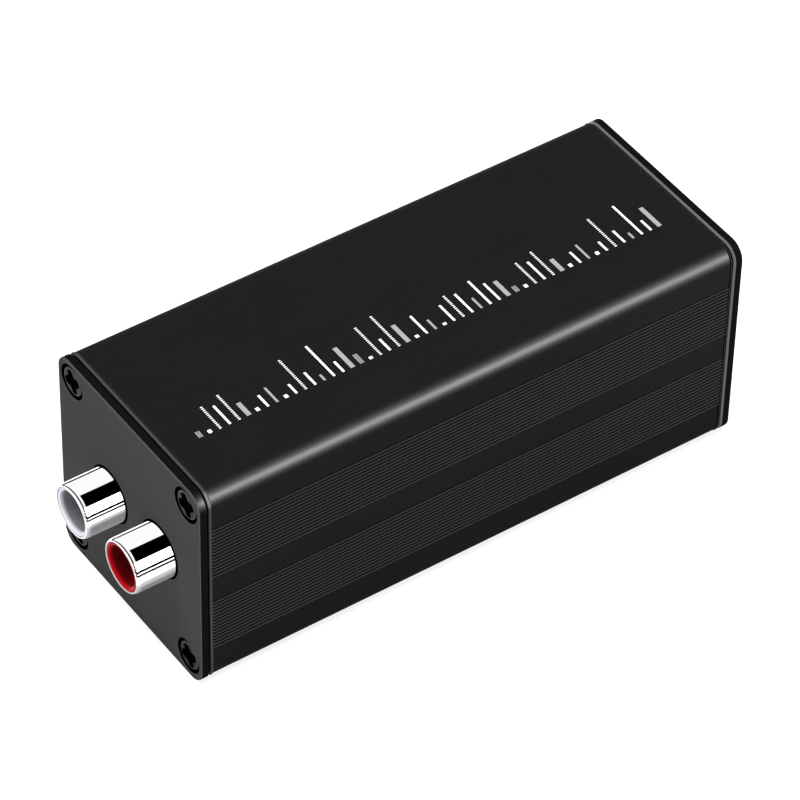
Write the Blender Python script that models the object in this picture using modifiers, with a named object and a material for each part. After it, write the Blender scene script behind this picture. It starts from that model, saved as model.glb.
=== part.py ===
"""Two-channel audio ground loop isolator.

An extruded aluminium tube with ribbed sides, closed by an end plate at each end. Each plate
carries two phono sockets, and four screws hold it to channels in the tube's corners. Inside, a
circuit board slides in two slots of the tube and carries the sockets and one small audio
transformer for each channel.

Units are metres, +Z is up and the long axis is Y. The origin is at the middle of the underside.
The front, with the sockets that are seen first, faces -Y. Both ends are the same assembly, and
the rear one is turned half round about Z. Within an end, x runs to the right as seen from
outside, y runs inwards from the plate's outer face, and z is the height above the underside.
"""
import math

import bmesh
import bpy
from mathutils import Matrix

MM = 0.001

# Overall form
BODY_WIDTH = 35.0 * MM
BODY_HEIGHT = 35.5 * MM
BODY_LENGTH = 90.0 * MM
EDGE_RADIUS = 2.6 * MM
EDGE_STEPS = 6

# Clearances
JOINT_GAP = 0.15 * MM
SEAT_GAP = 0.2 * MM
FIT_GAP = 0.1 * MM
THREAD_GAP = 0.3 * MM

# End plates and the thin frames behind them
PLATE_THICKNESS = 1.5 * MM
PLATE_EDGE = 0.15 * MM
FRAME_THICKNESS = 0.30 * MM
FRAME_WIDTH = 1.3 * MM
FRAME_EDGE = 0.08 * MM

# Tube section
WALL = 1.6 * MM
RIBS_PER_BAND = 15
RIB_PITCH = 0.62 * MM
RIB_FOOT = 0.42 * MM
RIB_SHOULDER = 0.30 * MM
RIB_TOP = 0.14 * MM
RIB_CROWN = 0.07 * MM
RIB_DEPTH = 0.30 * MM
RIB_PROUD = 0.15 * MM
BAND_SPACING = 13.6 * MM
RAIL_DEPTH = 1.5 * MM
RAIL_THICKNESS = 1.4 * MM
CHANNEL_WALL = 1.15 * MM
CHANNEL_SLOT = 0.9 * MM

# Screws
SCREW_INSET = 3.35 * MM
SCREW_LENGTH = 8.0 * MM
SHANK_RADIUS = 1.05 * MM
TIP_LENGTH = 0.8 * MM
HEAD_RADIUS = 2.2 * MM
HEAD_EDGE = 0.2 * MM
HEAD_SINK = 0.15 * MM
RECESS_MARGIN = 0.55 * MM
RECESS_WEB = 0.5 * MM
CROSS_SPAN = 3.4 * MM
CROSS_ARM = 1.36 * MM
CROSS_TIP = 0.9 * MM
CROSS_DEPTH = 0.5 * MM
SCREW_TURN = math.radians(22)
SCREW_STEPS = 18

# Phono sockets
SOCKET_PITCH = 12.5 * MM
SOCKET_OFFSET = 1.35 * MM
SOCKET_LIFT = 0.75 * MM
SOCKET_REACH = 6.2 * MM
SHELL_RADIUS = 4.1 * MM
SHELL_WALL = 0.35 * MM
RIM_LENGTH = 0.8 * MM
RIM_FLAT = 0.08 * MM
RIM_STEPS = 4
PLATE_HOLE_MARGIN = 0.35 * MM
FLANGE_RADIUS = 5.0 * MM
FLANGE_THICKNESS = 0.8 * MM
CUP_WALL = 0.45 * MM
CUP_DEPTH = 7.0 * MM
LIP_SINK = 0.05 * MM
LIP_EDGE = 0.15 * MM
CUP_FLOOR = 0.8 * MM
PIN_HOLE_RADIUS = 1.65 * MM
CONTACT_WALL = 0.25 * MM
STEM_WALL = 1.05 * MM
STEM_LENGTH = 5.5 * MM
TERMINAL_THICKNESS = 0.4 * MM
TERMINAL_WIDTH = 1.4 * MM
TAIL_WIDTH = 1.2 * MM
TAIL_REACH = 1.5 * MM
SOCKET_BODY_WIDTH = 10.0 * MM
SOCKET_BODY_DEPTH = 8.0 * MM
SOCKET_BODY_ROOF = 5.0 * MM
SOCKET_BODY_EDGE = 0.5 * MM
CONTACT_END = 0.7 * MM
SHELL_STEPS = 28
CUP_STEPS = 24
CONTACT_STEPS = 14

# Circuit board
BOARD_THICKNESS = 1.6 * MM
BOARD_DROP = 6.2 * MM
BOARD_EDGE_GAP = 0.3 * MM
LEAD_HOLE_GAP = 0.2 * MM
LEAD_HOLE_STEPS = 8

# Transformers
TRANSFORMER_SPACING = 25.0 * MM
HEADROOM = 4.6 * MM
CORE_STANDOFF = 0.5 * MM
LIMB = 2.5 * MM
WINDOW_WIDTH = 5.0 * MM
STACK = 7.0 * MM
BOBBIN_WALL = 0.6 * MM
BOBBIN_FLANGE = 0.8 * MM
BOBBIN_LENGTH = 16.0 * MM
BOBBIN_LEG = 2.5 * MM
COIL_BULGE = 3.4 * MM
COIL_CORNER = 1.6 * MM
PIN_RADIUS = 0.3 * MM
PIN_SEAT = 1.4 * MM
PIN_SPACING = 10.0 * MM
PIN_STEPS = 8

# Sizes that follow from those above
TUBE_SETBACK = PLATE_THICKNESS + FRAME_THICKNESS + 2 * JOINT_GAP
TUBE_LENGTH = BODY_LENGTH - 2 * TUBE_SETBACK
PLAIN_HALF_WIDTH = BODY_WIDTH / 2 - RIB_PROUD
INNER_HALF_WIDTH = PLAIN_HALF_WIDTH - WALL
BORE_RADIUS = SHANK_RADIUS + THREAD_GAP
RECESS_RADIUS = HEAD_RADIUS + RECESS_MARGIN
RECESS_DEPTH = PLATE_THICKNESS - RECESS_WEB
SCREW_X = BODY_WIDTH / 2 - SCREW_INSET
SCREW_HEIGHTS = (SCREW_INSET, BODY_HEIGHT - SCREW_INSET)

SOCKET_HEIGHT = BODY_HEIGHT / 2 + SOCKET_LIFT
SOCKET_XS = (SOCKET_OFFSET - SOCKET_PITCH / 2, SOCKET_OFFSET + SOCKET_PITCH / 2)
SHELL_BORE = SHELL_RADIUS - SHELL_WALL
CUP_OUTSIDE = SHELL_BORE - FIT_GAP
CUP_RADIUS = CUP_OUTSIDE - CUP_WALL
FLANGE_FRONT = PLATE_THICKNESS + SEAT_GAP
FLANGE_BACK = FLANGE_FRONT + FLANGE_THICKNESS
TERMINAL_FRONT = FLANGE_BACK + FIT_GAP
SOCKET_BODY_FRONT = TERMINAL_FRONT + TERMINAL_THICKNESS + FIT_GAP
SOCKET_BODY_BACK = SOCKET_BODY_FRONT + SOCKET_BODY_DEPTH
CONTACT_OUTSIDE = PIN_HOLE_RADIUS + CONTACT_WALL
CONTACT_BORE = CONTACT_OUTSIDE + FIT_GAP
STEM_RADIUS = CONTACT_BORE + STEM_WALL
STEM_END = FLANGE_BACK + STEM_LENGTH
CONTACT_FRONT = CUP_DEPTH - SOCKET_REACH + LIP_SINK + CUP_FLOOR
CONTACT_BACK = SOCKET_BODY_BACK + FIT_GAP + CONTACT_END

BOARD_TOP = SOCKET_HEIGHT - BOARD_DROP
BOARD_UNDERSIDE = BOARD_TOP - BOARD_THICKNESS
BOARD_LENGTH = BODY_LENGTH - 2 * (PLATE_THICKNESS + SEAT_GAP)
BOARD_WIDTH = 2 * (INNER_HALF_WIDTH - BOARD_EDGE_GAP)
TAIL_END = BOARD_UNDERSIDE - TAIL_REACH

CORE_BASE = BOARD_TOP + CORE_STANDOFF
CORE_TOP = BODY_HEIGHT - WALL - HEADROOM
CORE_HALF_WIDTH = 2 * LIMB + WINDOW_WIDTH
WINDOW_BASE = CORE_BASE + LIMB
WINDOW_TOP = CORE_TOP - LIMB
PIN_ROW = BOBBIN_LENGTH / 2 - BOBBIN_LEG / 2


def clear_scene():
    for item in list(bpy.data.objects):
        bpy.data.objects.remove(item, do_unlink=True)


def new_collection(name):
    collection = bpy.data.collections.new(name)
    bpy.context.scene.collection.children.link(collection)
    return collection


def new_material(name, colour, roughness, metallic=0.0):
    material = bpy.data.materials.new(name)
    material.use_nodes = True
    shader = material.node_tree.nodes["Principled BSDF"]
    shader.inputs["Base Color"].default_value = (*colour, 1.0)
    shader.inputs["Roughness"].default_value = roughness
    shader.inputs["Metallic"].default_value = metallic
    return material


def evaluated_mesh(worker):
    """Return the mesh that a working object shows, in its own space, and remove the object."""
    bpy.context.view_layer.update()
    depsgraph = bpy.context.evaluated_depsgraph_get()
    mesh = bpy.data.meshes.new_from_object(worker.evaluated_get(depsgraph))
    bpy.data.objects.remove(worker, do_unlink=True)
    return mesh


def working_object(data):
    worker = bpy.data.objects.new("worker", data)
    bpy.context.scene.collection.objects.link(worker)
    return worker


def welded(mesh, distance=0.001 * MM):
    shape = bmesh.new()
    shape.from_mesh(mesh)
    bmesh.ops.remove_doubles(shape, verts=shape.verts, dist=distance)
    shape.to_mesh(mesh)
    shape.free()
    return mesh


def moved(mesh, x=0.0, y=0.0, z=0.0):
    mesh.transform(Matrix.Translation((x, y, z)))
    return mesh


def block(low, high):
    """A box between two corners."""
    shape = bmesh.new()
    size = [b - a for a, b in zip(low, high)]
    centre = [(a + b) / 2 for a, b in zip(low, high)]
    matrix = Matrix.Translation(centre) @ Matrix.Diagonal((*size, 1.0))
    bmesh.ops.create_cube(shape, size=1.0, matrix=matrix)
    mesh = bpy.data.meshes.new("block")
    shape.to_mesh(mesh)
    shape.free()
    return mesh


def upright_pegs(places, radius, low, high, steps):
    """Round pegs along Z, as one mesh of separate closed bodies."""
    shape = bmesh.new()
    for x, y in places:
        bmesh.ops.create_cone(
            shape, cap_ends=True, segments=steps, radius1=radius, radius2=radius,
            depth=high - low, matrix=Matrix.Translation((x, y, (low + high) / 2)))
    mesh = bpy.data.meshes.new("pegs")
    shape.to_mesh(mesh)
    shape.free()
    return mesh


def turned(profile, steps, closed):
    """Turn a profile of (radius, height) points about Z; its outer side runs from top to bottom."""
    mesh = bpy.data.meshes.new("turned")
    count = len(profile)
    edges = [(i, i + 1) for i in range(count - 1)]
    if closed:
        edges.append((count - 1, 0))
    mesh.from_pydata([(radius, 0.0, height) for radius, height in profile], edges, [])
    worker = working_object(mesh)
    screw = worker.modifiers.new("turn", "SCREW")
    screw.axis = "Z"
    screw.steps = steps
    screw.render_steps = steps
    screw.use_merge_vertices = True
    screw.merge_threshold = 0.001 * MM
    return welded(evaluated_mesh(worker))


def extruded(outlines, thickness):
    """Fill flat outlines of (x, z) points, holes included, and thicken them from y = 0 inwards.

    The curve is drawn a thousand times larger, so that the fill resolves the finest ribs."""
    curve = bpy.data.curves.new("outline", "CURVE")
    curve.dimensions = "2D"
    curve.fill_mode = "BOTH"
    curve.extrude = thickness / 2 / MM
    for outline in outlines:
        spline = curve.splines.new("POLY")
        spline.points.add(len(outline) - 1)
        for point, (x, z) in zip(spline.points, outline):
            point.co = (x / MM, z / MM, 0.0, 1.0)
        spline.use_cyclic_u = True
    mesh = evaluated_mesh(working_object(curve))
    bpy.data.curves.remove(curve)
    upright = Matrix.Rotation(math.radians(90), 4, "X")
    mesh.transform(upright @ Matrix.Scale(MM, 4))
    return moved(welded(mesh), y=thickness / 2)


def laid_flat(mesh):
    """Turn an extruded piece so that its outline lies in X and Y and it rises from z = 0."""
    mesh.transform(Matrix.Rotation(math.radians(-90), 4, "X"))
    depth = min(vertex.co.z for vertex in mesh.vertices)
    return moved(mesh, z=-depth)


def bevelled(mesh, width, segments, angle=40):
    worker = working_object(mesh)
    bevel = worker.modifiers.new("edges", "BEVEL")
    bevel.width = width
    bevel.segments = segments
    bevel.limit_method = "ANGLE"
    bevel.angle_limit = math.radians(angle)
    return evaluated_mesh(worker)


def combined(mesh, tool_mesh, operation):
    """Cut a mesh with another, or join the two, with an exact Boolean."""
    worker = working_object(mesh)
    tool = bpy.data.objects.new("cutter", tool_mesh)
    cutters.objects.link(tool)
    tool.hide_render = True
    tool.display_type = "WIRE"
    boolean = worker.modifiers.new("boolean", "BOOLEAN")
    boolean.operation = operation
    boolean.solver = "EXACT"
    boolean.object = tool
    result = evaluated_mesh(worker)
    bpy.data.objects.remove(tool, do_unlink=True)
    return welded(result)


def cut(mesh, tool_mesh):
    return combined(mesh, tool_mesh, "DIFFERENCE")


def joined(mesh, tool_mesh):
    return combined(mesh, tool_mesh, "UNION")


def faced_out(mesh):
    """Turn a mesh made along +Z so that +Z points out of an end, which is its -y."""
    mesh.transform(Matrix.Rotation(math.radians(90), 4, "X"))
    return mesh


def place(name, mesh, material, parent=None, location=(0.0, 0.0, 0.0), sharp=35):
    """Make one named piece of the isolator from a mesh, which pieces may share."""
    if not mesh.materials:
        mesh.materials.append(material)
        mesh.shade_smooth()
        mesh.set_sharp_from_angle(angle=math.radians(sharp))
    piece = bpy.data.objects.new(name, mesh)
    isolator.objects.link(piece)
    piece.parent = parent
    piece.location = location
    return piece


def arc(centre_x, centre_z, radius, start, end, steps):
    """Points on an arc, with the angles in degrees and both ends included."""
    points = []
    for i in range(steps + 1):
        angle = math.radians(start + (end - start) * i / steps)
        points.append((centre_x + radius * math.cos(angle), centre_z + radius * math.sin(angle)))
    return points


def rounded_rectangle(half_width, low, high, radius, steps):
    right = half_width - radius
    points = arc(right, low + radius, radius, -90, 0, steps)
    points += arc(right, high - radius, radius, 0, 90, steps)
    points += arc(-right, high - radius, radius, 90, 180, steps)
    points += arc(-right, low + radius, radius, 180, 270, steps)
    return points


def mirrored(points):
    """The same outline on the other side of x = 0, in the order that continues round."""
    return [(-x, z) for x, z in reversed(points)]


def rib_band(middle):
    """One band of ribs up the right side, each rib with a crowned top."""
    crest = BODY_WIDTH / 2
    trough = crest - RIB_DEPTH
    first = middle - RIB_PITCH * (RIBS_PER_BAND - 1) / 2
    reach = RIB_PITCH - RIB_FOOT / 2
    points = [(PLAIN_HALF_WIDTH, first - reach)]
    for i in range(RIBS_PER_BAND):
        rib = first + i * RIB_PITCH
        points.append((trough, rib - RIB_FOOT / 2))
        points.append((crest - RIB_CROWN, rib - RIB_SHOULDER / 2))
        points.append((crest, rib - RIB_TOP / 2))
        points.append((crest, rib + RIB_TOP / 2))
        points.append((crest - RIB_CROWN, rib + RIB_SHOULDER / 2))
        points.append((trough, rib + RIB_FOOT / 2))
    last = first + RIB_PITCH * (RIBS_PER_BAND - 1)
    points.append((PLAIN_HALF_WIDTH, last + reach))
    return points


def tube_outside():
    right = PLAIN_HALF_WIDTH - EDGE_RADIUS
    half = arc(right, EDGE_RADIUS, EDGE_RADIUS, -90, 0, EDGE_STEPS)
    for sign in (-1, 1):
        half += rib_band(BODY_HEIGHT / 2 + sign * BAND_SPACING / 2)
    half += arc(right, BODY_HEIGHT - EDGE_RADIUS, EDGE_RADIUS, 0, 90, EDGE_STEPS)
    return half + mirrored(half)


def screw_channel():
    """The open screw channel in the lower right corner, from the floor round to the side wall.

    Its bore opens to the inside through a slot that points at the tube's middle."""
    outside = BORE_RADIUS + CHANNEL_WALL
    outer_slot = math.degrees(math.asin(CHANNEL_SLOT / 2 / outside))
    inner_slot = math.degrees(math.asin(CHANNEL_SLOT / 2 / BORE_RADIUS))
    x, z = SCREW_X, SCREW_INSET
    points = [(x - outside, WALL)]
    points += arc(x, z, outside, 180, 135 + outer_slot, 3)
    points += arc(x, z, BORE_RADIUS, 135 + inner_slot, 495 - inner_slot, 16)
    points += arc(x, z, outside, 135 - outer_slot, 90, 3)
    points.append((INNER_HALF_WIDTH, z + outside))
    return points


def board_rails():
    """Two rails up the right side wall, with the board's edge in the slot between them."""
    inner = INNER_HALF_WIDTH - RAIL_DEPTH
    points = []
    for low in (BOARD_UNDERSIDE - SEAT_GAP - RAIL_THICKNESS, BOARD_TOP + SEAT_GAP):
        high = low + RAIL_THICKNESS
        points += [(INNER_HALF_WIDTH, low), (inner, low), (inner, high), (INNER_HALF_WIDTH, high)]
    return points


def tube_inside():
    lower = screw_channel()
    upper = [(x, BODY_HEIGHT - z) for x, z in reversed(lower)]
    half = lower + board_rails() + upper
    return half + mirrored(half)


def make_tube():
    mesh = extruded([tube_outside(), tube_inside()], TUBE_LENGTH)
    place("housing_tube", mesh, black_anodised, location=(0.0, -TUBE_LENGTH / 2, 0.0))


def screw_recess():
    """The stepped hole for a screw, from outside the plate to past its inner face."""
    proud = PLATE_THICKNESS
    profile = [
        (0.0, proud),
        (RECESS_RADIUS, proud),
        (RECESS_RADIUS, -RECESS_DEPTH),
        (BORE_RADIUS, -RECESS_DEPTH),
        (BORE_RADIUS, -2 * PLATE_THICKNESS),
        (0.0, -2 * PLATE_THICKNESS)]
    return faced_out(turned(profile, SCREW_STEPS, closed=False))


def socket_hole():
    radius = SHELL_RADIUS + PLATE_HOLE_MARGIN
    profile = [
        (0.0, PLATE_THICKNESS),
        (radius, PLATE_THICKNESS),
        (radius, -2 * PLATE_THICKNESS),
        (0.0, -2 * PLATE_THICKNESS)]
    return faced_out(turned(profile, SHELL_STEPS, closed=False))


def end_plate_mesh():
    outline = rounded_rectangle(BODY_WIDTH / 2, 0.0, BODY_HEIGHT, EDGE_RADIUS, EDGE_STEPS)
    mesh = bevelled(extruded([outline], PLATE_THICKNESS), PLATE_EDGE, 1)
    for x in (-SCREW_X, SCREW_X):
        for z in SCREW_HEIGHTS:
            mesh = cut(mesh, moved(screw_recess(), x=x, z=z))
    for x in SOCKET_XS:
        mesh = cut(mesh, moved(socket_hole(), x=x, z=SOCKET_HEIGHT))
    return mesh


def trim_frame_mesh():
    outside = rounded_rectangle(BODY_WIDTH / 2, 0.0, BODY_HEIGHT, EDGE_RADIUS, EDGE_STEPS)
    inside = rounded_rectangle(
        BODY_WIDTH / 2 - FRAME_WIDTH, FRAME_WIDTH, BODY_HEIGHT - FRAME_WIDTH,
        EDGE_RADIUS - FRAME_WIDTH / 2, EDGE_STEPS)
    return bevelled(extruded([outside, inside], FRAME_THICKNESS), FRAME_EDGE, 1)


def cross_cutter():
    """The four-armed driver recess, whose arms narrow outwards, from above the head's face down."""
    arm = CROSS_ARM / 2
    tip = CROSS_SPAN / 2
    quarter = [(tip, -CROSS_TIP / 2), (tip, CROSS_TIP / 2), (arm, arm)]
    outline = []
    for turn in range(4):
        angle = math.radians(90 * turn)
        for x, z in quarter:
            outline.append((
                x * math.cos(angle) - z * math.sin(angle),
                x * math.sin(angle) + z * math.cos(angle)))
    mesh = laid_flat(extruded([outline], 2 * CROSS_DEPTH))
    mesh.transform(Matrix.Rotation(SCREW_TURN, 4, "Z"))
    return moved(mesh, z=-CROSS_DEPTH - HEAD_SINK)


def screw_mesh():
    head_under = -RECESS_DEPTH + FIT_GAP
    profile = [
        (0.0, -HEAD_SINK),
        (HEAD_RADIUS - HEAD_EDGE, -HEAD_SINK),
        (HEAD_RADIUS, -HEAD_SINK - HEAD_EDGE),
        (HEAD_RADIUS, head_under),
        (SHANK_RADIUS, head_under),
        (SHANK_RADIUS, -SCREW_LENGTH + TIP_LENGTH),
        (0.0, -SCREW_LENGTH)]
    return faced_out(cut(turned(profile, SCREW_STEPS, closed=False), cross_cutter()))


def shell_mesh():
    """The chrome barrel: a rounded front rim, a bore right through and a flange behind the plate."""
    face = SHELL_BORE + RIM_FLAT
    profile = []
    for i in range(RIM_STEPS + 1):
        angle = math.radians(90 * i / RIM_STEPS)
        radius = face + (SHELL_RADIUS - face) * math.sin(angle)
        profile.append((radius, SOCKET_REACH - RIM_LENGTH * (1 - math.cos(angle))))
    profile += [
        (SHELL_RADIUS, -FLANGE_FRONT),
        (FLANGE_RADIUS, -FLANGE_FRONT),
        (FLANGE_RADIUS, -FLANGE_BACK),
        (SHELL_BORE, -FLANGE_BACK),
        (SHELL_BORE, SOCKET_REACH)]
    return faced_out(turned(profile, SHELL_STEPS, closed=True))


def insulator_mesh():
    """The coloured cup inside the barrel, with the plug pin's hole in its floor and a stem behind."""
    lip = SOCKET_REACH - LIP_SINK
    floor = lip - CUP_DEPTH
    profile = [
        (CUP_OUTSIDE - LIP_EDGE, lip),
        (CUP_OUTSIDE, lip - LIP_EDGE),
        (CUP_OUTSIDE, -FLANGE_BACK),
        (STEM_RADIUS, -FLANGE_BACK),
        (STEM_RADIUS, -STEM_END),
        (CONTACT_BORE, -STEM_END),
        (CONTACT_BORE, floor - CUP_FLOOR),
        (PIN_HOLE_RADIUS, floor - CUP_FLOOR),
        (PIN_HOLE_RADIUS, floor),
        (CUP_RADIUS, floor),
        (CUP_RADIUS, lip - LIP_EDGE)]
    return faced_out(turned(profile, CUP_STEPS, closed=True))


def contact_mesh():
    """The centre contact: a sleeve for the plug's pin, and a tail from its back to the board."""
    front = -CONTACT_FRONT - FIT_GAP
    profile = [
        (CONTACT_OUTSIDE, front),
        (CONTACT_OUTSIDE, -CONTACT_BACK),
        (0.0, -CONTACT_BACK),
        (0.0, -CONTACT_BACK + CONTACT_END),
        (PIN_HOLE_RADIUS, -CONTACT_BACK + CONTACT_END),
        (PIN_HOLE_RADIUS, front)]
    sleeve = faced_out(turned(profile, CONTACT_STEPS, closed=True))
    tail = block(
        (-TAIL_WIDTH / 2, CONTACT_BACK - TERMINAL_THICKNESS, TAIL_END - SOCKET_HEIGHT),
        (TAIL_WIDTH / 2, CONTACT_BACK, -PIN_HOLE_RADIUS / 2))
    return joined(sleeve, tail)


def terminal_mesh():
    """The ground terminal: a ring behind the flange and a tail down to the board."""
    inner = STEM_RADIUS + FIT_GAP
    outer = inner + TERMINAL_WIDTH
    edge = math.degrees(math.asin(TAIL_WIDTH / 2 / outer))
    outline = arc(0.0, 0.0, outer, -90 + edge, 270 - edge, 24)
    end = TAIL_END - SOCKET_HEIGHT
    outline += [(-TAIL_WIDTH / 2, end), (TAIL_WIDTH / 2, end)]
    hole = arc(0.0, 0.0, inner, 0, 345, 23)
    return moved(extruded([outline, hole], TERMINAL_THICKNESS), y=TERMINAL_FRONT)


def socket_body_mesh():
    """The moulded block behind the plate, with a stepped bore for the cup's stem and the contact."""
    half = SOCKET_BODY_WIDTH / 2
    low = (-half, SOCKET_BODY_FRONT, BOARD_TOP + FIT_GAP - SOCKET_HEIGHT)
    high = (half, SOCKET_BODY_BACK, SOCKET_BODY_ROOF)
    mesh = bevelled(block(low, high), SOCKET_BODY_EDGE, 1)
    past = SOCKET_BODY_BACK + SOCKET_BODY_DEPTH
    profile = [
        (0.0, 0.0),
        (STEM_RADIUS + FIT_GAP, 0.0),
        (STEM_RADIUS + FIT_GAP, -STEM_END - FIT_GAP),
        (CONTACT_BORE, -STEM_END - FIT_GAP),
        (CONTACT_BORE, -past),
        (0.0, -past)]
    return cut(mesh, faced_out(turned(profile, CONTACT_STEPS, closed=False)))


def make_end(end, parent, meshes):
    """Place one end: its plate, thin frame, four screws and two sockets."""
    place(f"{end}_end_plate", meshes["plate"], plate_black, parent)
    place(f"{end}_trim_frame", meshes["frame"], black_anodised_trim, parent,
          (0.0, PLATE_THICKNESS + JOINT_GAP, 0.0))
    for side, x in (("left", -SCREW_X), ("right", SCREW_X)):
        for row, z in zip(("lower", "upper"), SCREW_HEIGHTS):
            place(f"{end}_{row}_{side}_screw", meshes["screw"], black_steel, parent, (x, 0.0, z))
    for side, x, cup in zip(("left", "right"), SOCKET_XS, ("white_cup", "red_cup")):
        name = f"{end}_{side}_socket"
        spot = (x, 0.0, SOCKET_HEIGHT)
        place(f"{name}_shell", meshes["shell"], chrome, parent, spot)
        place(f"{name}_insulator", meshes[cup], cup_materials[cup], parent, spot)
        place(f"{name}_contact", meshes["contact"], tinned_brass, parent, spot)
        place(f"{name}_ground_terminal", meshes["terminal"], tinned_brass_strip, parent, spot)
        place(f"{name}_body", meshes["body"], black_plastic, parent, spot)


def board_hole_places():
    """Where the sockets' tails and the transformers' pins pass through the board."""
    tails = []
    half_length = BODY_LENGTH / 2
    for x in SOCKET_XS:
        for y in (TERMINAL_FRONT + TERMINAL_THICKNESS / 2, CONTACT_BACK - TERMINAL_THICKNESS / 2):
            tails.append((x, y - half_length))
            tails.append((-x, half_length - y))
    pins = []
    for middle in (-TRANSFORMER_SPACING / 2, TRANSFORMER_SPACING / 2):
        for x in (-PIN_SPACING / 2, PIN_SPACING / 2):
            pins.append((x, middle - PIN_ROW))
            pins.append((x, middle + PIN_ROW))
    return tails, pins


def make_board():
    low = (-BOARD_WIDTH / 2, -BOARD_LENGTH / 2, BOARD_UNDERSIDE)
    high = (BOARD_WIDTH / 2, BOARD_LENGTH / 2, BOARD_TOP)
    tails, pins = board_hole_places()
    tail_radius = math.hypot(TAIL_WIDTH, TERMINAL_THICKNESS) / 2 + LEAD_HOLE_GAP
    under = BOARD_UNDERSIDE - BOARD_THICKNESS
    over = BOARD_TOP + BOARD_THICKNESS
    mesh = cut(block(low, high), upright_pegs(tails, tail_radius, under, over, LEAD_HOLE_STEPS))
    pin_hole = PIN_RADIUS + LEAD_HOLE_GAP
    mesh = cut(mesh, upright_pegs(pins, pin_hole, under, over, LEAD_HOLE_STEPS))
    place("circuit_board", mesh, green_board)


def core_mesh():
    """The laminated core: outer and centre limbs with a window on each side of the centre one."""
    half = CORE_HALF_WIDTH
    outline = [(-half, CORE_BASE), (half, CORE_BASE), (half, CORE_TOP), (-half, CORE_TOP)]
    right = [
        (LIMB, WINDOW_BASE),
        (LIMB + WINDOW_WIDTH, WINDOW_BASE),
        (LIMB + WINDOW_WIDTH, WINDOW_TOP),
        (LIMB, WINDOW_TOP)]
    return moved(extruded([outline, right, mirrored(right)], STACK), y=-STACK / 2)


def bobbin_mesh():
    """The moulded bobbin: a square sleeve round the centre limb, two flanges and two legs."""
    sleeve_x = LIMB + SEAT_GAP + BOBBIN_WALL
    sleeve_y = STACK / 2 + SEAT_GAP + BOBBIN_WALL
    flange_x = LIMB + WINDOW_WIDTH - SEAT_GAP
    flange_y = BOBBIN_LENGTH / 2
    low = WINDOW_BASE + SEAT_GAP
    high = WINDOW_TOP - SEAT_GAP
    mesh = block((-sleeve_x, -sleeve_y, low + BOBBIN_FLANGE / 2),
                 (sleeve_x, sleeve_y, high - BOBBIN_FLANGE / 2))
    for base in (low, high - BOBBIN_FLANGE):
        flange = block((-flange_x, -flange_y, base), (flange_x, flange_y, base + BOBBIN_FLANGE))
        mesh = joined(mesh, flange)
    for sign in (-1, 1):
        near, far = sorted((sign * (flange_y - BOBBIN_LEG), sign * flange_y))
        leg = block((-flange_x, near, BOARD_TOP + FIT_GAP),
                    (flange_x, far, low + BOBBIN_FLANGE / 2))
        mesh = joined(mesh, leg)
    limb = block((-LIMB - SEAT_GAP, -STACK / 2 - SEAT_GAP, CORE_BASE),
                 (LIMB + SEAT_GAP, STACK / 2 + SEAT_GAP, CORE_TOP))
    mesh = cut(mesh, limb)
    holes = [(x, y) for x in (-PIN_SPACING / 2, PIN_SPACING / 2) for y in (-PIN_ROW, PIN_ROW)]
    pegs = upright_pegs(
        holes, PIN_RADIUS + LEAD_HOLE_GAP, BOARD_UNDERSIDE,
        BOARD_TOP + FIT_GAP + PIN_SEAT + FIT_GAP, PIN_STEPS)
    return cut(mesh, pegs)


def coil_mesh():
    """The taped winding, a rounded ring that fills the bobbin and bulges out of the windows."""
    inner_x = LIMB + 2 * SEAT_GAP + BOBBIN_WALL
    inner_y = STACK / 2 + 2 * SEAT_GAP + BOBBIN_WALL
    outer_x = LIMB + WINDOW_WIDTH - 2 * SEAT_GAP
    outer_y = STACK / 2 + COIL_BULGE
    outside = rounded_rectangle(outer_x, -outer_y, outer_y, COIL_CORNER, 4)
    inside = [(-inner_x, -inner_y), (inner_x, -inner_y), (inner_x, inner_y), (-inner_x, inner_y)]
    low = WINDOW_BASE + SEAT_GAP + BOBBIN_FLANGE + SEAT_GAP
    high = WINDOW_TOP - SEAT_GAP - BOBBIN_FLANGE - SEAT_GAP
    return moved(laid_flat(extruded([outside, inside], high - low)), z=low)


def make_transformers():
    core = core_mesh()
    bobbin = bobbin_mesh()
    coil = coil_mesh()
    pin = upright_pegs([(0.0, 0.0)], PIN_RADIUS, TAIL_END, BOARD_TOP + FIT_GAP + PIN_SEAT, PIN_STEPS)
    for name, middle in (("left", -TRANSFORMER_SPACING / 2), ("right", TRANSFORMER_SPACING / 2)):
        spot = (0.0, middle, 0.0)
        place(f"{name}_transformer_core", core, lamination_steel, location=spot)
        place(f"{name}_transformer_bobbin", bobbin, bobbin_plastic, location=spot)
        place(f"{name}_transformer_winding", coil, yellow_tape, location=spot)
        number = 0
        for y in (middle - PIN_ROW, middle + PIN_ROW):
            for x in (-PIN_SPACING / 2, PIN_SPACING / 2):
                number += 1
                place(f"{name}_transformer_pin_{number}", pin, tinned_wire, location=(x, y, 0.0))


def make_ends():
    meshes = {
        "plate": end_plate_mesh(),
        "frame": trim_frame_mesh(),
        "screw": screw_mesh(),
        "shell": shell_mesh(),
        "white_cup": insulator_mesh(),
        "red_cup": insulator_mesh(),
        "contact": contact_mesh(),
        "terminal": terminal_mesh(),
        "body": socket_body_mesh()}
    for end, sign, turn in (("front", -1, 0), ("rear", 1, 180)):
        anchor = bpy.data.objects.new(f"{end}_end", None)
        isolator.objects.link(anchor)
        anchor.location = (0.0, sign * BODY_LENGTH / 2, 0.0)
        anchor.rotation_euler = (0.0, 0.0, math.radians(turn))
        make_end(end, anchor, meshes)


clear_scene()
isolator = new_collection("ground_loop_isolator")
cutters = new_collection("cutters")

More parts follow.
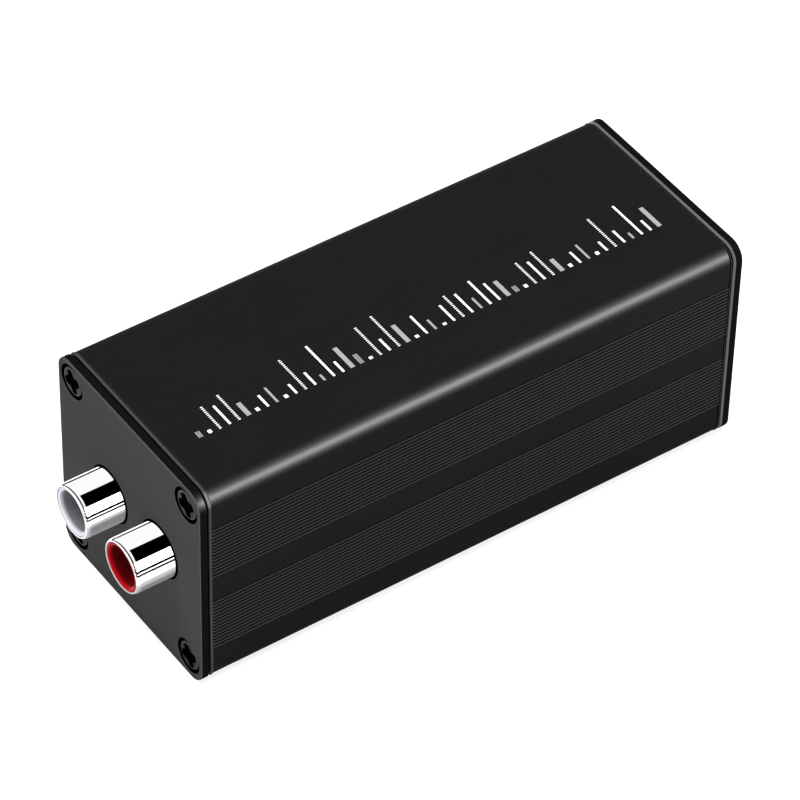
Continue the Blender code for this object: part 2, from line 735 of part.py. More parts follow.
black_anodised = new_material("black_anodised", (0.016, 0.016, 0.015), 0.42, 0.6)
black_anodised_trim = new_material("black_anodised_trim", (0.05, 0.05, 0.05), 0.35, 0.8)
plate_black = new_material("plate_black", (0.055, 0.055, 0.055), 0.6, 0.3)
black_steel = new_material("black_steel", (0.01, 0.01, 0.01), 0.4, 0.7)
chrome = new_material("chrome", (0.85, 0.85, 0.88), 0.06, 1.0)
black_plastic = new_material("black_plastic", (0.015, 0.015, 0.015), 0.5)
tinned_brass = new_material("tinned_brass", (0.75, 0.68, 0.5), 0.3, 1.0)
tinned_brass_strip = new_material("tinned_brass_strip", (0.7, 0.68, 0.62), 0.3, 1.0)
tinned_wire = new_material("tinned_wire", (0.7, 0.7, 0.68), 0.3, 1.0)
green_board = new_material("green_board", (0.02, 0.16, 0.06), 0.45)
lamination_steel = new_material("lamination_steel", (0.32, 0.32, 0.33), 0.4, 0.9)
bobbin_plastic = new_material("bobbin_plastic", (0.03, 0.03, 0.03), 0.5)
yellow_tape = new_material("yellow_tape", (0.75, 0.55, 0.08), 0.4)
cup_materials = {
    "white_cup": new_material("white_cup", (0.82, 0.82, 0.9), 0.35),
    "red_cup": new_material("red_cup", (0.45, 0.008, 0.012), 0.3)}

make_tube()
make_ends()
make_board()
make_transformers()
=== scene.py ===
"""Looks of the two-channel audio ground loop isolator.

The black ribbed tube, its end plates, thin frames, screws and phono sockets are modelled again
here as fine meshes over the fixed frame, with the printed row of bars on the tube's top. What
lies inside keeps the frame's own solids and gets its finish here. Metres, +Z up, the long axis
is Y. Within an end, x runs to the right as seen from outside, y runs inwards from the plate's
outer face, and z is the height above the underside.
"""
import math

import bmesh
import bpy
from mathutils import Matrix, Vector


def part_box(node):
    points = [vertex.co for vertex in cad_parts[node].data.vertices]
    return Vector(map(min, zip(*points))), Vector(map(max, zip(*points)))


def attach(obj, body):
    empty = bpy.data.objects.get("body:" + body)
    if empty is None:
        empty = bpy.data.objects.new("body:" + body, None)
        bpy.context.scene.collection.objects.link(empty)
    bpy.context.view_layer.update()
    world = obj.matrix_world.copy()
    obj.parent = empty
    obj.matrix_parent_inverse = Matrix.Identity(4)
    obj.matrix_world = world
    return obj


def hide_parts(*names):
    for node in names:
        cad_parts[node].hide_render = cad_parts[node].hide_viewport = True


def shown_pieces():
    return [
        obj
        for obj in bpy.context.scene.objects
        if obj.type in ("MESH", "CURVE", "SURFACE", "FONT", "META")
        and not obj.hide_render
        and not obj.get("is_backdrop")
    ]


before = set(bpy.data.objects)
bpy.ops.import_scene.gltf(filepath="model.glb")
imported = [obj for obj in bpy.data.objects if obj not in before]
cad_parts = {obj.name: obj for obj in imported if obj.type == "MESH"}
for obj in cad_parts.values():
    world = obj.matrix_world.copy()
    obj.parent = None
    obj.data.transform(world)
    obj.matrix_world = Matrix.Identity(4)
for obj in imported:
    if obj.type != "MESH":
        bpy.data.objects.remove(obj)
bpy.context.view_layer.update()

MM = 0.001

# Clearances, as the solids have them
FIT_GAP = 0.1 * MM
BOARD_GAP = 0.2 * MM
THREAD_GAP = 0.3 * MM

# The body, read from the frame
TUBE_LOW, TUBE_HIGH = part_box("housing_tube")
PLATE_LOW, PLATE_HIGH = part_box("front_end_plate")
BODY_WIDTH = PLATE_HIGH.x - PLATE_LOW.x
BODY_HEIGHT = PLATE_HIGH.z - PLATE_LOW.z
HALF_LENGTH = -PLATE_LOW.y
PLATE_THICKNESS = PLATE_HIGH.y - PLATE_LOW.y
EDGE_RADIUS = 2.6 * MM
EDGE_STEPS = 18
WELD_DISTANCE = 0.0005 * MM

# Tube section
WALL = 1.6 * MM
RIBS_PER_BAND = 15
RIB_PITCH = 0.62 * MM
RIB_FOOT = 0.42 * MM
RIB_SHOULDER = 0.30 * MM
RIB_CROWN = 0.07 * MM
CROWN_STEPS = 8
FOOT_SHARES = (0.0, 0.12, 0.3)
FOOT_DRAW = 0.7
RIB_DEPTH = 0.30 * MM
RIB_PROUD = 0.15 * MM
BAND_SPACING = 13.6 * MM
PLAIN_HALF_WIDTH = BODY_WIDTH / 2 - RIB_PROUD
INNER_HALF_WIDTH = PLAIN_HALF_WIDTH - WALL
RAIL_DEPTH = 1.5 * MM
RAIL_THICKNESS = 1.4 * MM
CHANNEL_WALL = 1.15 * MM
CHANNEL_SLOT = 0.9 * MM
CHANNEL_STEPS = 6
SLOT_ANGLE = 135
CUT_EDGE = 0.04 * MM
OUTSIDE_MARGIN = 0.1 * MM
TUBE_SHARP = 24

# Screws and their seats
SCREW_LOW, SCREW_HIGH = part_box("front_lower_left_screw")
SCREW_INSET = (SCREW_LOW.z + SCREW_HIGH.z) / 2
SCREW_X = BODY_WIDTH / 2 - SCREW_INSET
SCREW_HEIGHTS = (SCREW_INSET, BODY_HEIGHT - SCREW_INSET)
HEAD_RADIUS = (SCREW_HIGH.z - SCREW_LOW.z) / 2
HEAD_SINK = SCREW_LOW.y - PLATE_LOW.y
SCREW_LENGTH = SCREW_HIGH.y - PLATE_LOW.y
SHANK_RADIUS = 1.05 * MM
BORE_RADIUS = SHANK_RADIUS + THREAD_GAP
RECESS_MARGIN = 0.55 * MM
RECESS_FLOOR = 0.5 * MM
RECESS_RADIUS = HEAD_RADIUS + RECESS_MARGIN
RECESS_DEPTH = PLATE_THICKNESS - RECESS_FLOOR
RECESS_CHAMFER = 0.12 * MM
SEAT_MARGIN = 0.05 * MM
HEAD_UNDER = RECESS_DEPTH - FIT_GAP
HEAD_STEPS = 64
HEAD_ROUND_STEPS = 5
HEAD_ROUND = 0.22 * MM
CROSS_SPAN = 3.7 * MM
CROSS_ARM = 1.6 * MM
CROSS_TIP = 1.15 * MM
CROSS_DEPTH = 0.5 * MM
CROSS_TAPER = 0.85
CROSS_NOSE = 0.6
CROSS_CORNER = 0.88
SUNK_MARGIN = 0.01 * MM
ROUND_SHARE = 0.7
SCREW_TURN = math.radians(22)
THREAD_PITCH = 0.45 * MM
THREAD_DEPTH = 0.14 * MM
THREAD_RINGS = 6
SHANK_STEPS = 24
SHANK_START = HEAD_UNDER + 0.02 * MM
POINT_LENGTH = 0.8 * MM
POINT_SHARE = 0.25

# Phono sockets
SHELL_LOW, SHELL_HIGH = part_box("front_left_socket_shell")
CUP_LOW, CUP_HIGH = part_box("front_left_socket_insulator")
SOCKET_HEIGHT = (CUP_LOW.z + CUP_HIGH.z) / 2
SOCKET_XS = tuple(
    sum(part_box(f"front_{side}_socket_insulator")[i].x for i in (0, 1)) / 2
    for side in ("left", "right"))
SOCKET_REACH = PLATE_LOW.y - SHELL_LOW.y
FLANGE_BACK = SHELL_HIGH.y - PLATE_LOW.y
FLANGE_THICKNESS = 0.8 * MM
FLANGE_RADIUS = (SHELL_HIGH.z - SHELL_LOW.z) / 2
SHELL_RADIUS = 4.1 * MM
SHELL_WALL = 0.35 * MM
SHELL_BORE = SHELL_RADIUS - SHELL_WALL
RIM_LENGTH = 0.8 * MM
RIM_FLAT = 0.08 * MM
RIM_STEPS = 14
ROOT_REACH = 0.15 * MM
BORE_EDGE = 0.04 * MM
BORE_MARGIN = 0.03 * MM
CUP_OUTSIDE = SHELL_BORE - 0.02 * MM
CUP_WALL = 0.53 * MM
CUP_DEPTH = 7.0 * MM
CUP_FLOOR = 0.8 * MM
CUP_ROUND = 0.3 * MM
CUP_ROUND_STEPS = 5
LIP_STEPS = 10
LIP_REACH = PLATE_LOW.y - CUP_LOW.y
PIN_HOLE_RADIUS = 1.65 * MM
PIN_HOLE_EDGE = 0.15 * MM
CONTACT_WALL = 0.25 * MM
STEM_WALL = 1.05 * MM
CONTACT_BORE = PIN_HOLE_RADIUS + CONTACT_WALL + FIT_GAP
STEM_RADIUS = CONTACT_BORE + STEM_WALL
STEM_END = CUP_HIGH.y - PLATE_LOW.y
PLATE_HOLE_GAP = 0.35 * MM
PLATE_HOLE_RADIUS = SHELL_RADIUS + PLATE_HOLE_GAP
TURN_STEPS = 96

# Thin frames between the plates and the tube
FRAME_LOW, FRAME_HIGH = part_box("front_trim_frame")
FRAME_FRONT = FRAME_LOW.y - PLATE_LOW.y
FRAME_THICKNESS = FRAME_HIGH.y - FRAME_LOW.y
FRAME_WIDTH = 1.3 * MM
FRAME_EDGE = 0.03 * MM
FRAME_SLANT = 0.27 * MM
PLATE_EDGE = 0.15 * MM
PLATE_BACK_EDGE = 0.3 * MM

# Printed bars on the top
INK = 0.015 * MM
BAR_PITCH = 1.52 * MM
BAR_ROW_HALF = 38.5 * MM
BAR_BASE = 7.4 * MM
BAR_STEP = 0.618
BAR_KINDS = {
    "thin": (0.35 * MM, 1.5 * MM, 4.6 * MM),
    "tall": (0.35 * MM, 5.0 * MM, 8.0 * MM),
    "grey": (0.35 * MM, 1.2 * MM, 3.4 * MM),
    "wide": (0.7 * MM, 2.6 * MM, 4.8 * MM),
    "hatched": (0.75 * MM, 1.2 * MM, 2.8 * MM),
    "dotted": (0.35 * MM, 4.4 * MM, 7.6 * MM),
    "block": (0.55 * MM, 0.45 * MM, 0.75 * MM)}
BAR_ORDER = (
    "hatched", "block", "dotted", "thin", "dotted", "wide", "block", "thin", "grey", "block",
    "thin", "dotted", "thin", "grey", "tall", "thin", "wide")
DOT_PITCH = 0.36 * MM
DOT_LENGTH = 0.18 * MM

# Camera
CAMERA_PLACE = Vector((388.35, -279.57, 473.83)) * MM
CAMERA_TARGET = Vector((1.05, -1.24, 17.75)) * MM
CAMERA_ROLL = math.radians(-1.41)
CAMERA_LENS = 213.6
SENSOR = 36.0
CLIP_NEAR = 0.01
CLIP_FAR = 20.0

# Finishes
GRAIN_DEPTH = 0.002 * MM
TUBE_BLACK = (0.0073, 0.0074, 0.0068)
RIM_BLACK = (0.0045, 0.0045, 0.0045)
# Painted highlights on the black finish: on the rubbed upper right edge, the rib crests, the slanting
# ends that face the front, and their corners
EDGE_HIGHLIGHT_GREY = (0.095, 0.095, 0.095)
EDGE_HIGHLIGHT_ANGLE = math.radians(38)
EDGE_HIGHLIGHT_SHARPNESS = 24.0
EDGE_HIGHLIGHT_MARGIN = 0.3 * MM
CREST_STARTS = (0.09 * MM, 0.04 * MM)
SLANT_STARTS = (0.3, 0.5)
SQUARE_STARTS = (0.85, 0.95)
CORNER_STARTS = (0.84, 1.0)
EDGE_HIGHLIGHT_METALLIC = 0.85
CREST_HIGHLIGHT_GREY = (0.025, 0.025, 0.0245)
FRAME_HIGHLIGHT_GREY = (0.065, 0.065, 0.065)
PLATE_BACK_HIGHLIGHT_GREY = (0.13, 0.13, 0.13)
CORNER_HIGHLIGHT_GREY = (0.26, 0.26, 0.26)
TUBE_SPECULAR = 0.012
DIE_LINE_SCALE = (4200.0, 12.0, 4200.0)
DIE_LINE_DEPTH = 0.0015 * MM
PLATE_GREY = (0.064, 0.065, 0.065)
# A painted highlight on the plate's bevelled edges
BEVEL_HIGHLIGHT_GREY = (0.068, 0.068, 0.068)
BEVEL_STARTS = (0.03, 0.2)
PLATE_SPECULAR = 0.0
SCREW_GREY = (0.036, 0.036, 0.036)
# A painted highlight on the screw heads' round edges, and black painted as shade in the seats,
# recesses and round the barrels' roots
ROUND_HIGHLIGHT_GREY = (0.085, 0.085, 0.085)
SEAT_SHADE_BLACK = (0.001, 0.001, 0.001)
CHROME = (0.97, 0.965, 0.98)
BORE_GREY = (0.6, 0.6, 0.62)
CUP_SPECULAR = 0.02
CUP_WHITE = (0.80, 0.79, 0.86)
CUP_RED = (0.44, 0.005, 0.012)
# Painted shade down inside the cups
WHITE_CUP_SHADE = 0.3
RED_CUP_SHADE = 0.26
CUP_SHADE_STARTS = (0.2 * MM, 0.9 * MM)
WHITE_INK = (0.80, 0.80, 0.80)
GREY_INK = (0.27, 0.27, 0.27)
CONTACT_TIN = (0.3, 0.27, 0.2)
STRIP_TIN = (0.7, 0.68, 0.62)
WIRE_TIN = (0.7, 0.7, 0.68)
SOCKET_BLACK = (0.015, 0.015, 0.015)
BOARD_GREEN = (0.02, 0.16, 0.06)
BOBBIN_BLACK = (0.03, 0.03, 0.03)
TAPE_YELLOW = (0.75, 0.55, 0.08)
SHEET_GREY = (0.32, 0.32, 0.33)
SHEET_SCALE = (1.0, 900.0, 1.0)
SHEET_SHADE = 0.75
SHEET_SWING = 0.3
SHEET_DEPTH = 0.01 * MM

# The studio. A card is given by its low and high angle and its distance, and a rail by its low
# and high angle, its reach, and the angles where it starts and ends. CARD_LEAN is the share of
# a distance that lies along the object.
FLOOR_SIZE = 4.0
FLOOR_DROP = 0.02 * MM
FLOOR_TONE = 0.6
FLOOR_GLOW = 0.62
FLOOR_SHADE = 0.12
SHADE_TINT = (0.84, 0.82, 0.9, 1.0)
SHADE_CENTRE = 9 * MM
SHADE_FAR = 29 * MM
SHADE_FADE = 6 * MM
SHADE_STRETCH = 0.35
OUTER_SHADE = 0.58
INNER_SHADE = 0.32
ROOM_LIGHT = 0.2
STRIP_ANGLES = (0, 42)
STRIP_DISTANCE = 0.55
STRIP_LENGTH = 0.60
STRIP_POWER = 3.5
FRONT_PLACE = (0.12, -0.85, 0.04)
FRONT_POWER = 3.2
OVERHEAD_PLACE = (-0.1, -0.1, 0.9)
OVERHEAD_POWER = 13.6
FILL_SIZE = 0.8
CARD_LEAN = 0.365
CARD_SHARE = 0.24
OVERHEAD_CARD = (43, 94, 0.5)
BLACK_RAILS = {
    "upper_rail": (-1.5, 8.0, 0.5, -100, 65),
    "lower_rail": (-17.0, -5.0, 0.085, -100, 65),
    "left_rail": (-13.0, 2.0, 0.085, -215, -160)}
RAIL_STEPS = 40
HOOP_DISTANCE = 0.03
HOOP_RADII = (0.08, 0.7)
HOOP_STEPS = 80


def arc(centre_x, centre_z, radius, start, end, steps):
    """Points on an arc, with the angles in degrees and both ends included."""
    points = []
    for i in range(steps + 1):
        angle = math.radians(start + (end - start) * i / steps)
        points.append((centre_x + radius * math.cos(angle), centre_z + radius * math.sin(angle)))
    return points


def mirrored(points):
    """The left half of an outline, from its right half."""
    return [(-x, z) for x, z in reversed(points)]


def rounded_rectangle(half_width, low, high, radius, steps):
    """An outline round the long axis, from a low height to a high one."""
    right = half_width - radius
    points = arc(right, low + radius, radius, -90, 0, steps)
    points += arc(right, high - radius, radius, 0, 90, steps)
    points += arc(-right, high - radius, radius, 90, 180, steps)
    points += arc(-right, low + radius, radius, 180, 270, steps)
    return points


def set_up(name, data):
    """Put a new object into the scene: a piece, a lamp, the camera, or one to work with."""
    thing = bpy.data.objects.new(name, data)
    bpy.context.scene.collection.objects.link(thing)
    return thing


def evaluated_mesh(worker):
    """Return the mesh that a working object shows, in its own space, and remove the object."""
    bpy.context.view_layer.update()
    depsgraph = bpy.context.evaluated_depsgraph_get()
    mesh = bpy.data.meshes.new_from_object(worker.evaluated_get(depsgraph))
    bpy.data.objects.remove(worker, do_unlink=True)
    return mesh


def finished_mesh(shape, name):
    """Turn a bmesh into a mesh of the given name."""
    mesh = bpy.data.meshes.new(name)
    shape.to_mesh(mesh)
    shape.free()
    return mesh


def bridge(shape, near, far):
    """Join two closed rings of as many vertices with a band of faces."""
    count = len(near)
    for i in range(count):
        j = (i + 1) % count
        shape.faces.new((near[i], near[j], far[j], far[i]))


def welded(mesh):
    """Merge vertices that fall together and turn every face outwards."""
    shape = bmesh.new()
    shape.from_mesh(mesh)
    bmesh.ops.remove_doubles(shape, verts=shape.verts, dist=WELD_DISTANCE)
    bmesh.ops.recalc_face_normals(shape, faces=shape.faces)
    shape.to_mesh(mesh)
    shape.free()
    return mesh


def extruded(outlines, thickness, edge=0.0, edge_steps=0):
    """Fill flat outlines of (x, z) points, holes included, and thicken them from y = 0 inwards.

    Both ends get a rounded edge of the given size. The curve is drawn a thousand times larger,
    so that the fill resolves the finest ribs."""
    curve = bpy.data.curves.new("outline", "CURVE")
    curve.dimensions = "2D"
    curve.fill_mode = "BOTH"
    curve.extrude = (thickness / 2 - edge) / MM
    curve.bevel_depth = edge / MM
    curve.bevel_resolution = edge_steps
    curve.offset = -edge / MM
    for outline in outlines:
        spline = curve.splines.new("POLY")
        spline.points.add(len(outline) - 1)
        for point, (x, z) in zip(spline.points, outline):
            point.co = (x / MM, z / MM, 0.0, 1.0)
        spline.use_cyclic_u = True
    mesh = evaluated_mesh(set_up("worker", curve))
    bpy.data.curves.remove(curve)
    upright = Matrix.Rotation(math.radians(90), 4, "X")
    mesh.transform(upright @ Matrix.Scale(MM, 4))
    mesh.transform(Matrix.Translation((0.0, thickness / 2, 0.0)))
    return welded(mesh)


def turned(profile, steps=TURN_STEPS, closed=True):
    """Turn a profile of (radius, reach) points about the socket's or screw's own axis.

    Reach is measured out of the end, towards -y."""
    mesh = bpy.data.meshes.new("turned")
    count = len(profile)
    edges = [(i, i + 1) for i in range(count - 1)]
    if closed:
        edges.append((count - 1, 0))
    mesh.from_pydata([(radius, 0.0, reach) for radius, reach in profile], edges, [])
    worker = set_up("worker", mesh)
    screw = worker.modifiers.new("turn", "SCREW")
    screw.axis = "Z"
    screw.steps = steps
    screw.render_steps = steps
    screw.use_merge_vertices = True
    screw.merge_threshold = WELD_DISTANCE
    mesh = welded(evaluated_mesh(worker))
    mesh.transform(Matrix.Rotation(math.radians(90), 4, "X"))
    return mesh


def cut(mesh, tool_mesh):
    """Cut one mesh with another."""
    worker = set_up("worker", mesh)
    tool = set_up("tool", tool_mesh)
    boolean = worker.modifiers.new("cut", "BOOLEAN")
    boolean.operation = "DIFFERENCE"
    boolean.solver = "EXACT"
    boolean.object = tool
    result = evaluated_mesh(worker)
    bpy.data.objects.remove(tool, do_unlink=True)
    return result


def moved(mesh, x, z):
    """Shift a mesh across the end's face."""
    mesh.transform(Matrix.Translation((x, 0.0, z)))
    return mesh


def show(name, mesh, material, stands_for=None, place=Matrix.Identity(4), sharp=32):
    """Add one finished piece, which stands for a CAD node where one is named."""
    if not mesh.materials:
        mesh.materials.append(material)
    mesh.shade_smooth()
    mesh.set_sharp_from_angle(angle=math.radians(sharp))
    piece = set_up(name, mesh)
    piece.matrix_world = place
    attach(piece, "root")
    if stands_for:
        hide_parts(stands_for)
    return piece


def crowned_rib(middle, crest):
    """One rib's outline up the right side, with its top crowned and its feet eased."""
    trough = crest - RIB_DEPTH
    shoulder = RIB_SHOULDER / 2
    points = []
    for share in FOOT_SHARES:
        ease = share * (RIB_DEPTH - RIB_CROWN)
        draw = math.sqrt(share / FOOT_SHARES[-1]) * FOOT_DRAW
        width = RIB_FOOT / 2 - (RIB_FOOT / 2 - shoulder) * draw
        points.append((trough + ease * share, -width))
    for i in range(CROWN_STEPS + 1):
        angle = math.radians(-90 + 180 * i / CROWN_STEPS)
        points.append((crest - RIB_CROWN * (1 - math.cos(angle)), shoulder * math.sin(angle)))
    points += [(x, -z) for x, z in reversed(points[:len(FOOT_SHARES)])]
    return [(x, middle + z) for x, z in points]


def rib_band(middle):
    """A band of ribs up the right side, about a middle height."""
    crest = BODY_WIDTH / 2
    first = middle - RIB_PITCH * (RIBS_PER_BAND - 1) / 2
    last = first + RIB_PITCH * (RIBS_PER_BAND - 1)
    reach = RIB_PITCH - RIB_FOOT / 2
    points = [(PLAIN_HALF_WIDTH, first - reach)]
    for i in range(RIBS_PER_BAND):
        points += crowned_rib(first + i * RIB_PITCH, crest)
    points.append((PLAIN_HALF_WIDTH, last + reach))
    return points


def tube_outside():
    """The tube's outer outline: rounded long edges and two bands of ribs on each side."""
    right = PLAIN_HALF_WIDTH - EDGE_RADIUS
    half = arc(right, EDGE_RADIUS, EDGE_RADIUS, -90, 0, EDGE_STEPS)
    for sign in (-1, 1):
        half += rib_band(BODY_HEIGHT / 2 + sign * BAND_SPACING / 2)
    half += arc(right, BODY_HEIGHT - EDGE_RADIUS, EDGE_RADIUS, 0, 90, EDGE_STEPS)
    return half + mirrored(half)


def screw_channel():
    """The open screw channel in the lower right corner, from the floor to the side wall."""
    outside = BORE_RADIUS + CHANNEL_WALL
    outer_slot = math.degrees(math.asin(CHANNEL_SLOT / 2 / outside))
    inner_slot = math.degrees(math.asin(CHANNEL_SLOT / 2 / BORE_RADIUS))
    x, z = SCREW_X, SCREW_INSET
    points = [(x - outside, WALL)]
    points += arc(x, z, outside, 180, SLOT_ANGLE + outer_slot, CHANNEL_STEPS)
    points += arc(x, z, BORE_RADIUS, SLOT_ANGLE + inner_slot, SLOT_ANGLE + 360 - inner_slot,
                  5 * CHANNEL_STEPS)
    points += arc(x, z, outside, SLOT_ANGLE - outer_slot, 90, CHANNEL_STEPS)
    points.append((INNER_HALF_WIDTH, z + outside))
    return points


def board_rails():
    """Two rails up the right side wall, with the board's edge in the slot between them."""
    board_low, board_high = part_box("circuit_board")
    inner = INNER_HALF_WIDTH - RAIL_DEPTH
    points = []
    for low in (board_low.z - BOARD_GAP - RAIL_THICKNESS, board_high.z + BOARD_GAP):
        high = low + RAIL_THICKNESS
        points += [(INNER_HALF_WIDTH, low), (inner, low), (inner, high), (INNER_HALF_WIDTH, high)]
    return points


def tube_inside():
    """The tube's inner outline: four screw channels and the circuit board's rails."""
    lower = screw_channel()
    upper = [(x, BODY_HEIGHT - z) for x, z in reversed(lower)]
    half = lower + board_rails() + upper
    return half + mirrored(half)


def chamfered(mesh, edge, ends):
    """Draw in the outer outline towards the given ends, which are (y, direction out) pairs."""
    shape = bmesh.new()
    shape.from_mesh(mesh)
    for end, out in ends:
        bmesh.ops.bisect_plane(
            shape, geom=shape.verts[:] + shape.edges[:] + shape.faces[:],
            plane_co=(0.0, end - out * edge, 0.0), plane_no=(0.0, 1.0, 0.0))
    middle = BODY_HEIGHT / 2
    inside_x = INNER_HALF_WIDTH + OUTSIDE_MARGIN
    inside_z = middle - WALL + OUTSIDE_MARGIN
    for vertex in shape.verts:
        place = vertex.co
        inset = max(edge - abs(place.y - end) for end, _ in ends)
        outer = abs(place.x) > inside_x or abs(place.z - middle) > inside_z
        if inset > 0.0 and outer:
            place.x *= 1 - inset / (BODY_WIDTH / 2)
            place.z = middle + (place.z - middle) * (1 - inset / middle)
    shape.to_mesh(mesh)
    shape.free()
    return mesh


def make_tube():
    """The ribbed tube with its cut ends."""
    length = TUBE_HIGH.y - TUBE_LOW.y
    mesh = extruded([tube_outside(), tube_inside()], length)
    chamfered(mesh, CUT_EDGE, ((0.0, -1), (length, 1)))
    place = Matrix.Translation((0.0, TUBE_LOW.y, 0.0))
    show("ribbed_tube", mesh, tube_finish(), "housing_tube", place, TUBE_SHARP)


def recess_cutter():
    """The stepped screw hole with its fine chamfer at the plate's face."""
    proud = PLATE_THICKNESS
    profile = [
        (0.0, proud),
        (RECESS_RADIUS + RECESS_CHAMFER + proud, proud),
        (RECESS_RADIUS, -RECESS_CHAMFER),
        (RECESS_RADIUS, -RECESS_DEPTH),
        (BORE_RADIUS, -RECESS_DEPTH),
        (BORE_RADIUS, -2 * PLATE_THICKNESS),
        (0.0, -2 * PLATE_THICKNESS)]
    return turned(profile, HEAD_STEPS, closed=False)


def socket_cutter():
    """The round hole that a barrel stands in."""
    profile = [
        (0.0, PLATE_THICKNESS),
        (PLATE_HOLE_RADIUS, PLATE_THICKNESS),
        (PLATE_HOLE_RADIUS, -2 * PLATE_THICKNESS),
        (0.0, -2 * PLATE_THICKNESS)]
    return turned(profile, closed=False)


def plate_mesh():
    """An end plate with its four screw seats and two socket holes."""
    outline = rounded_rectangle(BODY_WIDTH / 2, 0.0, BODY_HEIGHT, EDGE_RADIUS, EDGE_STEPS)
    mesh = extruded([outline], PLATE_THICKNESS, PLATE_EDGE, edge_steps=1)
    chamfered(mesh, PLATE_BACK_EDGE, ((PLATE_THICKNESS, 1),))
    for x in (-SCREW_X, SCREW_X):
        for z in SCREW_HEIGHTS:
            mesh = cut(mesh, moved(recess_cutter(), x, z))
    for x in SOCKET_XS:
        mesh = cut(mesh, moved(socket_cutter(), x, SOCKET_HEIGHT))
    # The screws' seats are painted black as shade
    return painted(mesh, (plate_finish(), plate_rim_finish(), seat_shade_finish()), plate_part)


def plate_part(place):
    """The plate's face, its rim and back, or a screw's seat, by a place on it."""
    if place.y < PLATE_EDGE:
        return 0
    for z in SCREW_HEIGHTS:
        if math.hypot(abs(place.x) - SCREW_X, place.z - z) < RECESS_RADIUS + SEAT_MARGIN:
            return 2
    return 1


def painted(mesh, looks, part):
    """Give each face of a mesh one of several finishes, by the part that its centre lies on."""
    mesh.materials.clear()
    for look in looks:
        mesh.materials.append(look)
    for polygon in mesh.polygons:
        polygon.material_index = part(polygon.center)
    return mesh


def frame_mesh():
    """The thin frame behind a plate, with a slanting front edge."""
    outside = rounded_rectangle(BODY_WIDTH / 2, 0.0, BODY_HEIGHT, EDGE_RADIUS, EDGE_STEPS)
    inside = rounded_rectangle(
        BODY_WIDTH / 2 - FRAME_WIDTH, FRAME_WIDTH, BODY_HEIGHT - FRAME_WIDTH,
        EDGE_RADIUS - FRAME_WIDTH / 2, EDGE_STEPS)
    mesh = extruded([outside, inside], FRAME_THICKNESS, FRAME_EDGE)
    return chamfered(mesh, FRAME_SLANT, ((0.0, -1),))


def cross_cutter():
    """The four-armed driver recess, which narrows as it goes down."""
    arm = CROSS_ARM / 2
    tip = CROSS_SPAN / 2
    tip_arm = CROSS_TIP / 2
    corner = tip * CROSS_CORNER
    nose = tip_arm * CROSS_NOSE
    quarter = ((tip, -nose), (tip, nose), (corner, tip_arm), (arm, arm), (tip_arm, corner))
    shape = bmesh.new()
    rings = []
    for reach, scale in ((CROSS_DEPTH, 1 / CROSS_TAPER), (-CROSS_DEPTH, CROSS_TAPER)):
        ring = []
        for turn in range(4):
            angle = SCREW_TURN + math.radians(90 * turn)
            for x, z in quarter:
                ring.append(shape.verts.new((
                    scale * (x * math.cos(angle) - z * math.sin(angle)),
                    -reach + HEAD_SINK,
                    scale * (x * math.sin(angle) + z * math.cos(angle)))))
        rings.append(ring)
    bridge(shape, *rings)
    for ring in rings:
        shape.faces.new(ring)
    bmesh.ops.recalc_face_normals(shape, faces=shape.faces)
    return finished_mesh(shape, "cross")


def thread_radius(reach, angle):
    """The threaded shank's radius at a depth and an angle, which makes a helical groove."""
    turn = (reach / THREAD_PITCH + angle / math.tau) % 1.0
    return SHANK_RADIUS - THREAD_DEPTH * abs(2 * turn - 1)


def screw_mesh():
    """The sunk head with its driver recess, and the threaded shank that narrows to a point."""
    head = arc(HEAD_RADIUS - HEAD_ROUND, -HEAD_SINK - HEAD_ROUND, HEAD_ROUND, 90, 0,
               HEAD_ROUND_STEPS)
    profile = [(0.0, -HEAD_SINK)] + head + [
        (HEAD_RADIUS, -HEAD_UNDER),
        (0.0, -HEAD_UNDER)]
    mesh = cut(turned(profile, HEAD_STEPS, closed=False), cross_cutter())
    shape = bmesh.new()
    shape.from_mesh(mesh)
    depth = SHANK_START
    rings = []
    while depth < SCREW_LENGTH:
        left = (SCREW_LENGTH - depth) / POINT_LENGTH
        narrowing = min(1.0, POINT_SHARE + (1 - POINT_SHARE) * left)
        ring = []
        for i in range(SHANK_STEPS):
            angle = math.tau * i / SHANK_STEPS
            radius = thread_radius(depth, angle) * narrowing
            ring.append(shape.verts.new((
                radius * math.cos(angle), depth, radius * math.sin(angle))))
        rings.append(ring)
        depth += THREAD_PITCH / THREAD_RINGS
    for near, far in zip(rings, rings[1:]):
        bridge(shape, near, far)
    shape.faces.new(rings[0])
    shape.faces.new(reversed(rings[-1]))
    bmesh.ops.recalc_face_normals(shape, faces=shape.faces)
    shape.to_mesh(mesh)
    shape.free()
    # The head's round edge gets a painted highlight; the driver recess and the rest are painted black
    # as shade
    return painted(mesh, (screw_finish(), round_highlight_finish(), seat_shade_finish()), screw_part)


def screw_part(place):
    """The head's top, its round edge with a painted highlight, or the rest with the driver recess,
    painted black as shade.
    """
    reach = math.hypot(place.x, place.z)
    sunk = place.y > HEAD_SINK + SUNK_MARGIN and reach < CROSS_SPAN / 2
    if sunk or place.y > HEAD_SINK + HEAD_ROUND * ROUND_SHARE:
        return 2
    return 1 if reach > HEAD_RADIUS - HEAD_ROUND else 0


